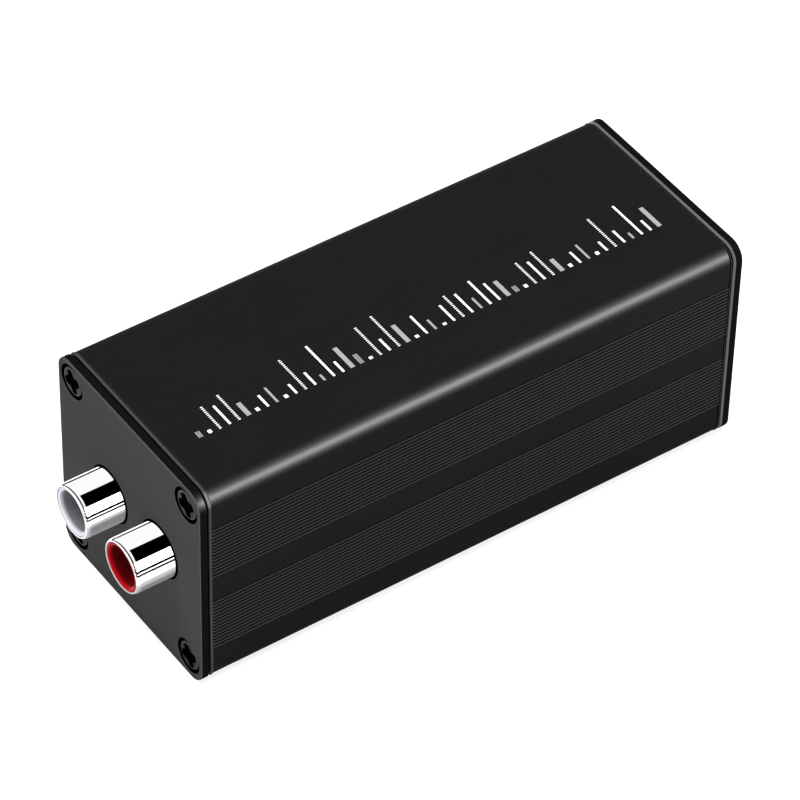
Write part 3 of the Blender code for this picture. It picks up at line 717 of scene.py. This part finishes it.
def shell_mesh():
    """The chrome barrel, with its rounded front rim and the flange behind the plate."""
    face = SHELL_BORE + RIM_FLAT
    profile = []
    for i in range(RIM_STEPS + 1):
        angle = math.radians(90 * i / RIM_STEPS)
        radius = face + (SHELL_RADIUS - face) * math.sin(angle)
        profile.append((radius, SOCKET_REACH - RIM_LENGTH * (1 - math.cos(angle))))
    profile += [
        (SHELL_RADIUS, ROOT_REACH),
        (SHELL_RADIUS, -FLANGE_BACK + FLANGE_THICKNESS),
        (FLANGE_RADIUS, -FLANGE_BACK + FLANGE_THICKNESS),
        (FLANGE_RADIUS, -FLANGE_BACK),
        (SHELL_BORE, -FLANGE_BACK),
        (SHELL_BORE, ROOT_REACH),
        (SHELL_BORE, SOCKET_REACH - BORE_EDGE),
        (SHELL_BORE + BORE_EDGE, SOCKET_REACH)]
    # The barrel's root in the plate's hole is painted black as shade
    looks = (chrome_finish(), seat_shade_finish(), dull_plating())
    return painted(turned(profile), looks, shell_part)


def shell_part(place):
    """The bright barrel, its root in the plate's hole painted black as shade, or its dull bore."""
    if place.y > -ROOT_REACH:
        return 1
    return 2 if math.hypot(place.x, place.z) < SHELL_BORE + BORE_MARGIN else 0


def cup_mesh():
    """The coloured cup in the barrel: a rounded lip, a plain wall and the pin's hole in its floor."""
    bore = CUP_OUTSIDE - CUP_WALL
    lip = CUP_WALL / 2
    floor = LIP_REACH - CUP_DEPTH
    profile = arc(bore + lip, LIP_REACH - lip, lip, 180, 0, LIP_STEPS) + [
        (CUP_OUTSIDE, -FLANGE_BACK),
        (STEM_RADIUS, -FLANGE_BACK),
        (STEM_RADIUS, -STEM_END),
        (CONTACT_BORE, -STEM_END),
        (CONTACT_BORE, floor - CUP_FLOOR),
        (PIN_HOLE_RADIUS, floor - CUP_FLOOR),
        (PIN_HOLE_RADIUS, floor - PIN_HOLE_EDGE),
        (PIN_HOLE_RADIUS + PIN_HOLE_EDGE, floor),
        (bore - CUP_ROUND, floor)]
    profile += arc(bore - CUP_ROUND, floor + CUP_ROUND, CUP_ROUND, -90, 0, CUP_ROUND_STEPS)
    return turned(profile)


def end_place(end):
    """Where the front end lies, or the rear one, which is turned half round."""
    sign, turn = (-1, 0.0) if end == "front" else (1, math.pi)
    return Matrix.Translation((0.0, sign * HALF_LENGTH, 0.0)) @ Matrix.Rotation(turn, 4, "Z")


def make_ends():
    """Both ends: plate, thin frame, four screws, and two barrels with their cups."""
    plate = plate_mesh()
    thin_frame = frame_mesh()
    screw = screw_mesh()
    shell = shell_mesh()
    cups = {"left": cup_mesh(), "right": cup_mesh()}
    cup_looks = {
        "left": (cup_finish("white_moulding", CUP_WHITE, WHITE_CUP_SHADE), "white_cup"),
        "right": (cup_finish("red_moulding", CUP_RED, RED_CUP_SHADE), "red_cup")}
    frame_look = frame_finish()
    for end in ("front", "rear"):
        place = end_place(end)
        show(f"{end}_plate_face", plate, None, f"{end}_end_plate", place)
        show(f"{end}_thin_frame", thin_frame, frame_look, f"{end}_trim_frame",
             place @ Matrix.Translation((0.0, FRAME_FRONT, 0.0)))
        for side, x in (("left", -SCREW_X), ("right", SCREW_X)):
            for row, z in zip(("lower", "upper"), SCREW_HEIGHTS):
                show(f"{end}_{row}_{side}_threaded_screw", screw, None,
                     f"{end}_{row}_{side}_screw", place @ Matrix.Translation((x, 0.0, z)))
        for side, x in zip(("left", "right"), SOCKET_XS):
            spot = place @ Matrix.Translation((x, 0.0, SOCKET_HEIGHT))
            look, slot = cup_looks[side]
            show(f"{end}_{side}_chrome_barrel", shell, None,
                 f"{end}_{side}_socket_shell", spot)
            show(f"{end}_{side}_cup", cups[side], look,
                 f"{end}_{side}_socket_insulator", spot)


def add_bar(shape, y, width, near, far):
    """A thin flat patch of ink on the top, from the row's baseline side to its tip."""
    centre = ((near + far) / 2, y, BODY_HEIGHT + INK / 2)
    size = (abs(far - near), width, INK)
    matrix = Matrix.Translation(centre) @ Matrix.Diagonal((*size, 1.0))
    bmesh.ops.create_cube(shape, size=1.0, matrix=matrix)


def make_print():
    """A generic row of bars of mixed kinds and heights along the top."""
    white, grey = bmesh.new(), bmesh.new()
    count = int(2 * BAR_ROW_HALF / BAR_PITCH) + 1
    for i in range(count):
        y = (i - (count - 1) / 2) * BAR_PITCH
        kind = BAR_ORDER[i % len(BAR_ORDER)]
        width, low, high = BAR_KINDS[kind]
        tip = BAR_BASE - low - (high - low) * (i * BAR_STEP % 1.0)
        if kind == "dotted":
            dots = int((BAR_BASE - tip) / DOT_PITCH)
            for x in (BAR_BASE - dot * DOT_PITCH for dot in range(dots)):
                add_bar(white, y, width, x, x - DOT_LENGTH)
        elif kind == "hatched":
            for line in (-1, 0, 1):
                add_bar(grey, y + line * width / 3, width / 5, BAR_BASE, tip)
        else:
            add_bar(grey if kind in ("grey", "wide") else white, y, width, BAR_BASE, tip)
    for name, shape, material, slot in (
            ("white_printed_bars", white, ink("white_ink", WHITE_INK), "white_print"),
            ("grey_printed_bars", grey, ink("grey_ink", GREY_INK), "grey_print")):
        show(name, finished_mesh(shape, name), material)


def new_group(name, inputs, outputs):
    """An effect shared by several finishes. Inputs are (name, kind, value)."""
    group = bpy.data.node_groups.new(name, "ShaderNodeTree")
    for label, kind, value in inputs:
        socket = group.interface.new_socket(label, in_out="INPUT", socket_type=kind)
        if value is not None:
            socket.default_value = value
    for label, kind in outputs:
        group.interface.new_socket(label, in_out="OUTPUT", socket_type=kind)
    return group, group.nodes.new("NodeGroupInput"), group.nodes.new("NodeGroupOutput")


def node(tree, kind, **values):
    """Add a node. A value whose name is a socket's sets that socket, and others set the node."""
    made = tree.nodes.new(kind)
    for key, value in values.items():
        label = key.replace("_", " ").title()
        if label in made.inputs:
            made.inputs[label].default_value = value
        else:
            setattr(made, key, value)
    return made


def axes(tree, vector):
    """The X, Y and Z of a vector."""
    parts = tree.nodes.new("ShaderNodeSeparateXYZ")
    tree.links.new(vector, parts.inputs[0])
    return parts.outputs


def stretched(tree, scale, location=(0.0, 0.0, 0.0)):
    """Places on the object, scaled and shifted."""
    place = tree.nodes.new("ShaderNodeTexCoord")
    made = tree.nodes.new("ShaderNodeMapping")
    made.inputs["Scale"].default_value = scale
    made.inputs["Location"].default_value = location
    tree.links.new(place.outputs["Object"], made.inputs["Vector"])
    return made.outputs[0]


def maths(tree, operation, first, second):
    """A math node on two inputs, each a socket or a number."""
    made = tree.nodes.new("ShaderNodeMath")
    made.operation = operation
    for socket, value in zip(made.inputs, (first, second)):
        if isinstance(value, (int, float)):
            socket.default_value = value
        else:
            tree.links.new(value, socket)
    return made.outputs[0]


def ramp(tree, value, low, high):
    """A smooth rise from 0 at the low value to 1 at the high one."""
    made = tree.nodes.new("ShaderNodeMapRange")
    made.interpolation_type = "SMOOTHSTEP"
    tree.links.new(value, made.inputs["Value"])
    made.inputs["From Min"].default_value = low
    made.inputs["From Max"].default_value = high
    return made.outputs["Result"]


def blended(tree, share, base, colour):
    """The base colour with another laid over it by a share."""
    blend = tree.nodes.new("ShaderNodeMix")
    blend.data_type = "RGBA"
    tree.links.new(share, blend.inputs["Factor"])
    tree.links.new(base, blend.inputs["A"])
    blend.inputs["B"].default_value = (*colour, 1.0)
    return blend.outputs["Result"]


def grain_group():
    """Fine even grain: a tone that varies around 1, a height for bump and a roughness."""
    group, given, made = new_group(
        "fine_grain",
        [("Scale", "NodeSocketFloat", 3000.0), ("Tone", "NodeSocketFloat", 0.1),
         ("Roughness", "NodeSocketFloat", 0.45), ("Spread", "NodeSocketFloat", 0.05)],
        [("Tone", "NodeSocketFloat"), ("Height", "NodeSocketFloat"),
         ("Roughness", "NodeSocketFloat")])
    links = group.links
    place = group.nodes.new("ShaderNodeTexCoord")
    fine = node(group, "ShaderNodeTexNoise", detail=3.0, roughness=0.6)
    links.new(place.outputs["Object"], fine.inputs["Vector"])
    links.new(given.outputs["Scale"], fine.inputs["Scale"])
    broad = node(group, "ShaderNodeTexNoise", scale=90.0, detail=4.0, roughness=0.5)
    links.new(place.outputs["Object"], broad.inputs["Vector"])
    mixed = maths(group, "ADD", fine.outputs[0], broad.outputs[0])
    swing = maths(group, "SUBTRACT", mixed, 1.0)
    tone = maths(group, "MULTIPLY", swing, given.outputs["Tone"])
    links.new(maths(group, "ADD", tone, 1.0), made.inputs["Tone"])
    links.new(fine.outputs[0], made.inputs["Height"])
    rough = maths(group, "MULTIPLY", swing, given.outputs["Spread"])
    links.new(maths(group, "ADD", rough, given.outputs["Roughness"]), made.inputs["Roughness"])
    return group


def highlight_group():
    """Painted highlights on the black finish: Edge is the rubbed, rounded upper right edge, Crest the
    tops of the ribs, End the slanting edges that face the front, and Corner the bend of those edges."""
    group, given, made = new_group(
        "painted_edge_highlights",
        [("Sharpness", "NodeSocketFloat", 6.0)],
        [("Edge", "NodeSocketFloat"), ("Crest", "NodeSocketFloat"), ("End", "NodeSocketFloat"),
         ("Corner", "NodeSocketFloat")])
    links = group.links
    place = group.nodes.new("ShaderNodeTexCoord")
    normal = axes(group, place.outputs["Normal"])
    # Painted highlight on the rounded upper right edge
    across = maths(group, "MULTIPLY", normal["X"], math.cos(EDGE_HIGHLIGHT_ANGLE))
    upwards = maths(group, "MULTIPLY", normal["Z"], math.sin(EDGE_HIGHLIGHT_ANGLE))
    turned_to_edge = maths(group, "MAXIMUM", maths(group, "ADD", across, upwards), 0.0)
    turning = maths(group, "POWER", turned_to_edge, given.outputs["Sharpness"])
    spot = axes(group, place.outputs["Object"])
    off_middle = maths(group, "SUBTRACT", spot["Z"], BODY_HEIGHT / 2)
    corner = ramp(group, maths(group, "ABSOLUTE", off_middle, 0.0),
                  BODY_HEIGHT / 2 - EDGE_RADIUS - EDGE_HIGHLIGHT_MARGIN,
                  BODY_HEIGHT / 2 - EDGE_RADIUS)
    links.new(maths(group, "MULTIPLY", turning, corner), made.inputs["Edge"])
    # Painted highlight on the rib crests
    crest = ramp(group, maths(group, "ABSOLUTE", spot["X"], 0.0),
                 *(BODY_WIDTH / 2 - depth for depth in CREST_STARTS))
    between = maths(group, "SUBTRACT", 1.0, corner)
    links.new(maths(group, "MULTIPLY", crest, between), made.inputs["Crest"])
    # Painted highlights on the slanting edges that face the front, brighter at their corners
    surface = group.nodes.new("ShaderNodeNewGeometry")
    outwards = axes(group, surface.outputs["Normal"])
    frontwards = maths(group, "MULTIPLY", outwards["Y"], -1.0)
    slanting = ramp(group, frontwards, *SLANT_STARTS)
    square = ramp(group, frontwards, *SQUARE_STARTS)
    end = maths(group, "SUBTRACT", slanting, square)
    links.new(end, made.inputs["End"])
    endways = maths(group, "MULTIPLY", normal["Y"], normal["Y"])
    sideways = maths(group, "POWER", maths(group, "SUBTRACT", 1.0, endways), 0.5)
    aligned = maths(group, "DIVIDE", turned_to_edge, sideways)
    at_corner = ramp(group, aligned, *CORNER_STARTS)
    links.new(maths(group, "MULTIPLY", end, at_corner), made.inputs["Corner"])
    return group


def streak_group():
    """Fine lines along the tube, as a die leaves them."""
    group, given, made = new_group(
        "die_lines",
        [("Strength", "NodeSocketFloat", 0.3)],
        [("Height", "NodeSocketFloat"), ("Tone", "NodeSocketFloat")])
    links = group.links
    lines = node(group, "ShaderNodeTexNoise", scale=1.0, detail=2.0, roughness=0.5)
    links.new(stretched(group, DIE_LINE_SCALE), lines.inputs["Vector"])
    height = maths(group, "MULTIPLY", lines.outputs[0], given.outputs["Strength"])
    links.new(height, made.inputs["Height"])
    swing = maths(group, "SUBTRACT", lines.outputs[0], 0.5)
    tone = maths(group, "MULTIPLY", swing, given.outputs["Strength"])
    links.new(maths(group, "ADD", tone, 1.0), made.inputs["Tone"])
    return group


def new_finish(name, metallic=0.0, specular=0.5):
    """A new material with its node tree and its shader."""
    material = bpy.data.materials.new(name)
    material.use_nodes = True
    tree = material.node_tree
    shader = tree.nodes["Principled BSDF"]
    shader.inputs["Metallic"].default_value = metallic
    shader.inputs["Specular IOR Level"].default_value = specular
    return material, tree, shader


def placed(tree, group, **values):
    """Put a shared effect into a material, with its inputs set."""
    made = tree.nodes.new("ShaderNodeGroup")
    made.node_tree = group
    for key, value in values.items():
        made.inputs[key.title()].default_value = value
    return made


def tinted(tree, colour, tone):
    """The base colour times a tone that varies over the surface."""
    tint = tree.nodes.new("ShaderNodeVectorMath")
    tint.operation = "SCALE"
    tint.inputs[0].default_value = colour
    tree.links.new(tone, tint.inputs["Scale"])
    return tint.outputs[0]


def surfaced(tree, shader, base, roughness, height, depth=GRAIN_DEPTH):
    """Give a shader its colour, its roughness and a fine relief of the given depth."""
    tree.links.new(base, shader.inputs["Base Color"])
    tree.links.new(roughness, shader.inputs["Roughness"])
    bump = node(tree, "ShaderNodeBump", strength=1.0, distance=depth)
    tree.links.new(height, bump.inputs["Height"])
    tree.links.new(bump.outputs[0], shader.inputs["Normal"])


def grained_finish(name, colour, roughness, metallic=0.0, specular=0.5, scale=3000.0,
                   tone=0.1, spread=0.05, depth=GRAIN_DEPTH):
    """A plain finish with fine grain in its colour, roughness and relief."""
    material, tree, shader = new_finish(name, metallic, specular)
    grain = placed(tree, FINE_GRAIN, scale=scale, tone=tone, roughness=roughness, spread=spread)
    surfaced(tree, shader, tinted(tree, colour, grain.outputs["Tone"]),
             grain.outputs["Roughness"], grain.outputs["Height"], depth)
    return material


def black_with_highlights(name, colour, specular, end_highlight_grey, crest_highlight_grey):
    """Black anodising with painted highlights on its rubbed long edge, slanting ends and rib crests.
    """
    material, tree, shader = new_finish(name, specular=specular)
    grain = placed(tree, FINE_GRAIN, scale=2600.0, tone=0.12, roughness=0.42, spread=0.05)
    lines = placed(tree, DIE_LINES, strength=0.25)
    highlights = placed(tree, EDGE_HIGHLIGHTS, sharpness=EDGE_HIGHLIGHT_SHARPNESS)
    tone = maths(tree, "MULTIPLY", grain.outputs["Tone"], lines.outputs["Tone"])
    base = tinted(tree, colour, tone)
    # Painted highlights laid over the black; the long edge is also made more metallic
    base = blended(tree, highlights.outputs["Crest"], base, crest_highlight_grey)
    base = blended(tree, highlights.outputs["End"], base, end_highlight_grey)
    base = blended(tree, highlights.outputs["Corner"], base, CORNER_HIGHLIGHT_GREY)
    base = blended(tree, highlights.outputs["Edge"], base, EDGE_HIGHLIGHT_GREY)
    tree.links.new(
        maths(tree, "MULTIPLY", highlights.outputs["Edge"], EDGE_HIGHLIGHT_METALLIC), shader.inputs["Metallic"])
    height = maths(tree, "ADD", grain.outputs["Height"], lines.outputs["Height"])
    surfaced(tree, shader, base, grain.outputs["Roughness"], height, DIE_LINE_DEPTH)
    return material


def tube_finish():
    """The tube's black anodising, with the crests of its ribs painted a little lighter as a
    highlight.
    """
    return black_with_highlights("black_anodised_tube", TUBE_BLACK, TUBE_SPECULAR, CREST_HIGHLIGHT_GREY, CREST_HIGHLIGHT_GREY)


def plate_finish():
    """Matt grey anodising on the plate's face, with a painted highlight on its bevelled edges."""
    material, tree, shader = new_finish("matt_grey_plate", specular=PLATE_SPECULAR)
    grain = placed(tree, FINE_GRAIN, scale=2200.0, tone=0.1, roughness=0.55, spread=0.05)
    base = tinted(tree, PLATE_GREY, grain.outputs["Tone"])
    place = tree.nodes.new("ShaderNodeTexCoord")
    normal = axes(tree, place.outputs["Normal"])
    facing_out = maths(tree, "ABSOLUTE", normal["Y"], 0.0)
    slanting = ramp(tree, maths(tree, "SUBTRACT", 1.0, facing_out), *BEVEL_STARTS)
    # Painted highlight on the bevelled edges
    base = blended(tree, slanting, base, BEVEL_HIGHLIGHT_GREY)
    surfaced(tree, shader, base, grain.outputs["Roughness"], grain.outputs["Height"])
    return material


def plate_rim_finish():
    """The plate's black sides and back, with a painted highlight on its slanting back edge."""
    return black_with_highlights("black_plate_rim", RIM_BLACK, 0.0, PLATE_BACK_HIGHLIGHT_GREY, RIM_BLACK)


def frame_finish():
    """The thin frame, black, with a grey painted highlight on its slanting front edge."""
    return black_with_highlights("black_frame", RIM_BLACK, 0.0, FRAME_HIGHLIGHT_GREY, RIM_BLACK)


def screw_finish():
    """Black oxide, worn to dark grey on the screw's head."""
    return grained_finish("worn_black_oxide", SCREW_GREY, 0.45, specular=0.02, scale=4000.0)


def round_highlight_finish():
    """The lighter line painted on the head's round edge as a highlight."""
    return grained_finish("round_edge_highlight", ROUND_HIGHLIGHT_GREY, 0.45, specular=0.02, scale=4000.0)


def seat_shade_finish():
    """Deep black painted as shade in the screws' seats, their driver recesses and round the barrels'
    roots.
    """
    return grained_finish("painted_shade_black", SEAT_SHADE_BLACK, 0.6, specular=0.0, scale=4000.0)


def chrome_finish():
    """The barrels' bright chrome."""
    return grained_finish(
        "bright_chrome", CHROME, 0.03, metallic=1.0, scale=700.0, tone=0.01, spread=0.01,
        depth=0.0)


def dull_plating():
    """The barrels' bore, which is plated but not polished."""
    return grained_finish("dull_plating", BORE_GREY, 0.6, specular=0.1, scale=2500.0)


def cup_finish(name, colour, painted_shade_tone):
    """Moulded plastic, with painted shade darkening it down inside the cup."""
    material, tree, shader = new_finish(name, specular=CUP_SPECULAR)
    grain = placed(tree, FINE_GRAIN, scale=1500.0, tone=0.04, roughness=0.3, spread=0.05)
    place = tree.nodes.new("ShaderNodeTexCoord")
    spot = axes(tree, place.outputs["Object"])
    # Painted shade, darker down inside the cup
    inside = ramp(tree, spot["Y"], *(depth - LIP_REACH for depth in CUP_SHADE_STARTS))
    base = tinted(tree, colour, grain.outputs["Tone"])
    base = blended(tree, inside, base, [painted_shade_tone * part for part in colour])
    surfaced(tree, shader, base, grain.outputs["Roughness"], grain.outputs["Height"])
    return material


def ink(name, colour):
    """Screen-printed ink."""
    return grained_finish(name, colour, 0.6, specular=0.2, scale=5000.0, tone=0.06)


def lamination_finish():
    """Thin steel sheets stacked along Y, seen as fine lines."""
    material, tree, shader = new_finish("steel_laminations", metallic=0.9)
    sheets = node(tree, "ShaderNodeTexWave", scale=1.0)
    sheets.bands_direction = "Y"
    tree.links.new(stretched(tree, SHEET_SCALE), sheets.inputs["Vector"])
    grain = placed(tree, FINE_GRAIN, scale=1200.0, tone=0.25, roughness=0.4, spread=0.1)
    swing = maths(tree, "MULTIPLY", sheets.outputs["Fac"], SHEET_SWING)
    shade = maths(tree, "ADD", swing, SHEET_SHADE)
    tone = maths(tree, "MULTIPLY", shade, grain.outputs["Tone"])
    surfaced(tree, shader, tinted(tree, SHEET_GREY, tone),
             grain.outputs["Roughness"], sheets.outputs["Fac"], SHEET_DEPTH)
    return material


def finish_inside():
    """Give the pieces inside, which keep their own solids, their finishes."""
    looks = {
        "_contact": (
            grained_finish("tinned_contact", CONTACT_TIN, 0.45, metallic=0.2, specular=0.1),
            "tinned_contact"),
        "_ground_terminal": (
            grained_finish("tinned_strip", STRIP_TIN, 0.3, metallic=1.0), "tinned_contact"),
        "_socket_body": (
            grained_finish("black_moulding", SOCKET_BLACK, 0.5), "socket_moulding"),
        "circuit_board": (
            grained_finish("green_laminate", BOARD_GREEN, 0.4, tone=0.2), "circuit_board"),
        "_core": (lamination_finish(), "laminations"),
        "_bobbin": (grained_finish("bobbin_moulding", BOBBIN_BLACK, 0.5), "bobbin"),
        "_winding": (
            grained_finish("yellow_tape", TAPE_YELLOW, 0.4, scale=900.0, tone=0.15), "winding")}
    pins = grained_finish("tinned_wire", WIRE_TIN, 0.3, metallic=1.0)
    for name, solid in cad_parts.items():
        if solid.hide_render:
            continue
        look, slot = next(
            (pair for ending, pair in looks.items() if name.endswith(ending)),
            (pins, "tinned_contact"))
        solid.data.materials.clear()
        solid.data.materials.append(look)


def seen_directly(tree):
    """1 for camera, mirror and glass rays, and 0 for the light that falls on the object."""
    path = tree.nodes.new("ShaderNodeLightPath")
    seen = maths(tree, "MAXIMUM", path.outputs["Is Camera Ray"], path.outputs["Is Glossy Ray"])
    return maths(tree, "MAXIMUM", seen, path.outputs["Is Transmission Ray"])


def floor_finish():
    """Pale matt paper: white where it is seen, with the object's soft shadow on it.

    Close to the object, mirrors show it with a painted shade, darker where it lies in the object's
    shade."""
    material, tree, shader = new_finish("white_paper", specular=0.0)
    shader.inputs["Roughness"].default_value = 1.0
    shader.inputs["Base Color"].default_value = (FLOOR_TONE, FLOOR_TONE, FLOOR_TONE, 1.0)
    path = tree.nodes.new("ShaderNodeLightPath")
    distance = tree.nodes.new("ShaderNodeVectorMath")
    distance.operation = "LENGTH"
    place = stretched(tree, (1.0, SHADE_STRETCH, 1.0), (-SHADE_CENTRE, 0.0, 0.0))
    tree.links.new(place, distance.inputs[0])
    reach = distance.outputs["Value"]
    outer_shade = maths(
        tree, "SUBTRACT", 1.0, ramp(tree, reach, SHADE_FAR - SHADE_FADE, SHADE_FAR))
    inner_shade = maths(tree, "SUBTRACT", 1.0, ramp(tree, reach, 0.0, SHADE_FAR))
    covered = maths(
        tree, "ADD", maths(tree, "MULTIPLY", outer_shade, OUTER_SHADE),
        maths(tree, "MULTIPLY", inner_shade, INNER_SHADE))
    open_floor = tree.nodes.new("ShaderNodeMixShader")
    glow = tree.nodes.new("ShaderNodeEmission")
    tree.links.new(
        maths(tree, "MULTIPLY", seen_directly(tree), FLOOR_GLOW), glow.inputs["Strength"])
    both = tree.nodes.new("ShaderNodeAddShader")
    tree.links.new(shader.outputs[0], both.inputs[0])
    tree.links.new(glow.outputs[0], both.inputs[1])
    dim = node(tree, "ShaderNodeEmission", strength=FLOOR_SHADE)
    dim.inputs["Color"].default_value = SHADE_TINT
    tree.links.new(both.outputs[0], open_floor.inputs[1])
    tree.links.new(dim.outputs[0], open_floor.inputs[2])
    tree.links.new(
        maths(tree, "MULTIPLY", path.outputs["Is Glossy Ray"], covered), open_floor.inputs["Fac"])
    tree.links.new(open_floor.outputs[0], tree.nodes["Material Output"].inputs["Surface"])
    return material


def black_cloth():
    """The dead black of the studio's cards and rails."""
    material, _, shader = new_finish("black_cloth", specular=0.0)
    shader.inputs["Base Color"].default_value = (0.0, 0.0, 0.0, 1.0)
    shader.inputs["Roughness"].default_value = 1.0
    return material


def stage_piece(name, shape, material):
    """Add a piece of the floor or the studio."""
    mesh = finished_mesh(shape, name)
    mesh.materials.append(material)
    piece = set_up(name, mesh)
    piece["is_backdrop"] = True
    return piece


def flat_patch(name, width, depth, material):
    """A flat rectangle in its own X and Y, for the floor and the studio's cards."""
    shape = bmesh.new()
    matrix = Matrix.Diagonal((width, depth, 1.0, 1.0))
    bmesh.ops.create_grid(shape, x_segments=2, y_segments=2, size=0.5, matrix=matrix)
    return stage_piece(name, shape, material)


def facing(thing, place, target):
    """Put a lamp or a card at a place and turn its -Z side to a target, with its X level."""
    thing.location = place
    thing.rotation_euler = (Vector(target) - Vector(place)).to_track_quat("-Z", "Y").to_euler()


def make_stage():
    """The paper floor, and the black cards and rails that the chrome mirrors."""
    floor = flat_patch("paper_floor", FLOOR_SIZE, FLOOR_SIZE, floor_finish())
    floor.location = (0.0, 0.0, -FLOOR_DROP)
    make_card("overhead_card", *OVERHEAD_CARD)
    for name, band in BLACK_RAILS.items():
        make_rail(name, *band)
    make_hoop()


def round_the_long_axis(angle, reach):
    """A place at an angle round the long axis, from +X towards +Z, as the barrels mirror it."""
    share = math.sqrt(1 - CARD_LEAN ** 2)
    turn = math.radians(angle)
    return Vector((share * math.cos(turn), CARD_LEAN, share * math.sin(turn))) * reach


def turned_along(angle, distance):
    """A place where the near barrels mirror what is at an angle round the long axis, with its
    X across, its Y along the object and its Z away from it."""
    turn = math.radians(angle)
    away = Vector((math.cos(turn), 0.0, math.sin(turn)))
    across = Vector((away.z, 0.0, -away.x))
    centre = round_the_long_axis(angle, distance)
    centre += Vector((0.0, -HALF_LENGTH - SOCKET_REACH / 2, SOCKET_HEIGHT))
    return Matrix.Translation(centre) @ Matrix((
        (across.x, 0.0, away.x, 0.0),
        (across.y, 1.0, away.y, 0.0),
        (across.z, 0.0, away.z, 0.0),
        (0.0, 0.0, 0.0, 1.0)))


def span(low, high, distance):
    """The width that fills the angles from low to high, seen from the long axis."""
    reach = distance * math.sqrt(1 - CARD_LEAN ** 2)
    return 2 * reach * math.tan(math.radians(high - low) / 2)


def make_card(name, low, high, distance):
    """A black card that only mirrors show, between two angles round the long axis."""
    card = flat_patch(name, span(low, high, distance), CARD_SHARE * distance, black_cloth())
    card.matrix_world = turned_along((low + high) / 2, distance)
    only_mirrored(card)


def make_rail(name, low, high, reach, start, end):
    """A thin black band that only mirrors show, level round the near barrels."""
    shape = bmesh.new()
    columns = []
    for i in range(RAIL_STEPS + 1):
        turn = math.radians(start + (end - start) * i / RAIL_STEPS)
        columns.append([
            shape.verts.new((
                reach * math.cos(turn),
                reach * math.sin(turn) - HALF_LENGTH - SOCKET_REACH / 2,
                SOCKET_HEIGHT + reach * math.tan(math.radians(angle))))
            for angle in (low, high)])
    for near, far in zip(columns, columns[1:]):
        shape.faces.new((near[0], far[0], far[1], near[1]))
    only_mirrored(stage_piece(name, shape, black_cloth()))


def make_hoop():
    """A flat black ring in front of the near barrels, which their rounded rims mirror."""
    shape = bmesh.new()
    rings = [
        bmesh.ops.create_circle(shape, segments=HOOP_STEPS, radius=radius)["verts"]
        for radius in HOOP_RADII]
    bridge(shape, *rings)
    hoop = stage_piece("front_hoop", shape, black_cloth())
    place = Vector((0.0, -HALF_LENGTH - SOCKET_REACH, SOCKET_HEIGHT))
    facing(hoop, place - Vector((0.0, HOOP_DISTANCE, 0.0)), place)
    only_mirrored(hoop)


def only_mirrored(card):
    """Hide a piece of the stage from all but mirrors."""
    card.visible_camera = False
    card.visible_diffuse = False
    card.visible_shadow = False


def make_strip(low, high):
    """The long softbox over the right side, between two angles round the long axis."""
    data = bpy.data.lights.new("long_softbox", "AREA")
    data.shape = "RECTANGLE"
    data.size = span(low, high, STRIP_DISTANCE)
    data.size_y = STRIP_LENGTH
    data.energy = STRIP_POWER
    lamp = set_up("long_softbox", data)
    lamp.matrix_world = turned_along((low + high) / 2, STRIP_DISTANCE)
    lamp.location.y += HALF_LENGTH
    lamp.visible_camera = False


def make_fill(name, place, power):
    """A weak square softbox that adds light but isn't mirrored."""
    data = bpy.data.lights.new(name, "AREA")
    data.size = FILL_SIZE
    data.energy = power
    lamp = set_up(name, data)
    facing(lamp, place, (0.0, 0.0, BODY_HEIGHT / 2))
    lamp.visible_camera = False
    lamp.visible_glossy = False


def make_light():
    """The pale room, white where it is seen, with one long softbox and two fills."""
    world = bpy.data.worlds.new("pale_room")
    bpy.context.scene.world = world
    world.use_nodes = True
    tree = world.node_tree
    background = tree.nodes["Background"]
    background.inputs["Color"].default_value = (1.0, 1.0, 1.0, 1.0)
    seen = maths(tree, "MULTIPLY", seen_directly(tree), 1.0 - ROOM_LIGHT)
    tree.links.new(maths(tree, "ADD", seen, ROOM_LIGHT), background.inputs["Strength"])
    make_strip(*STRIP_ANGLES)
    make_fill("front_fill", FRONT_PLACE, FRONT_POWER)
    make_fill("overhead_fill", OVERHEAD_PLACE, OVERHEAD_POWER)


def make_camera():
    """A long lens at the photograph's viewing angle."""
    data = bpy.data.cameras.new("camera")
    data.lens = CAMERA_LENS
    data.sensor_width = SENSOR
    data.clip_start = CLIP_NEAR
    data.clip_end = CLIP_FAR
    camera = set_up("camera", data)
    facing(camera, CAMERA_PLACE, CAMERA_TARGET)
    camera.rotation_euler = (
        camera.rotation_euler.to_matrix() @ Matrix.Rotation(-CAMERA_ROLL, 3, "Z")).to_euler()
    bpy.context.scene.camera = camera


# Effects that several finishes share
FINE_GRAIN = grain_group()
EDGE_HIGHLIGHTS = highlight_group()
DIE_LINES = streak_group()

make_tube()
make_ends()
make_print()
finish_inside()
make_stage()
make_light()
make_camera()
bpy.context.scene.view_settings.view_transform = "Standard"

# The barrels mirror the studio only, and not the plates behind them
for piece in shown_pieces():
    piece.visible_glossy = False
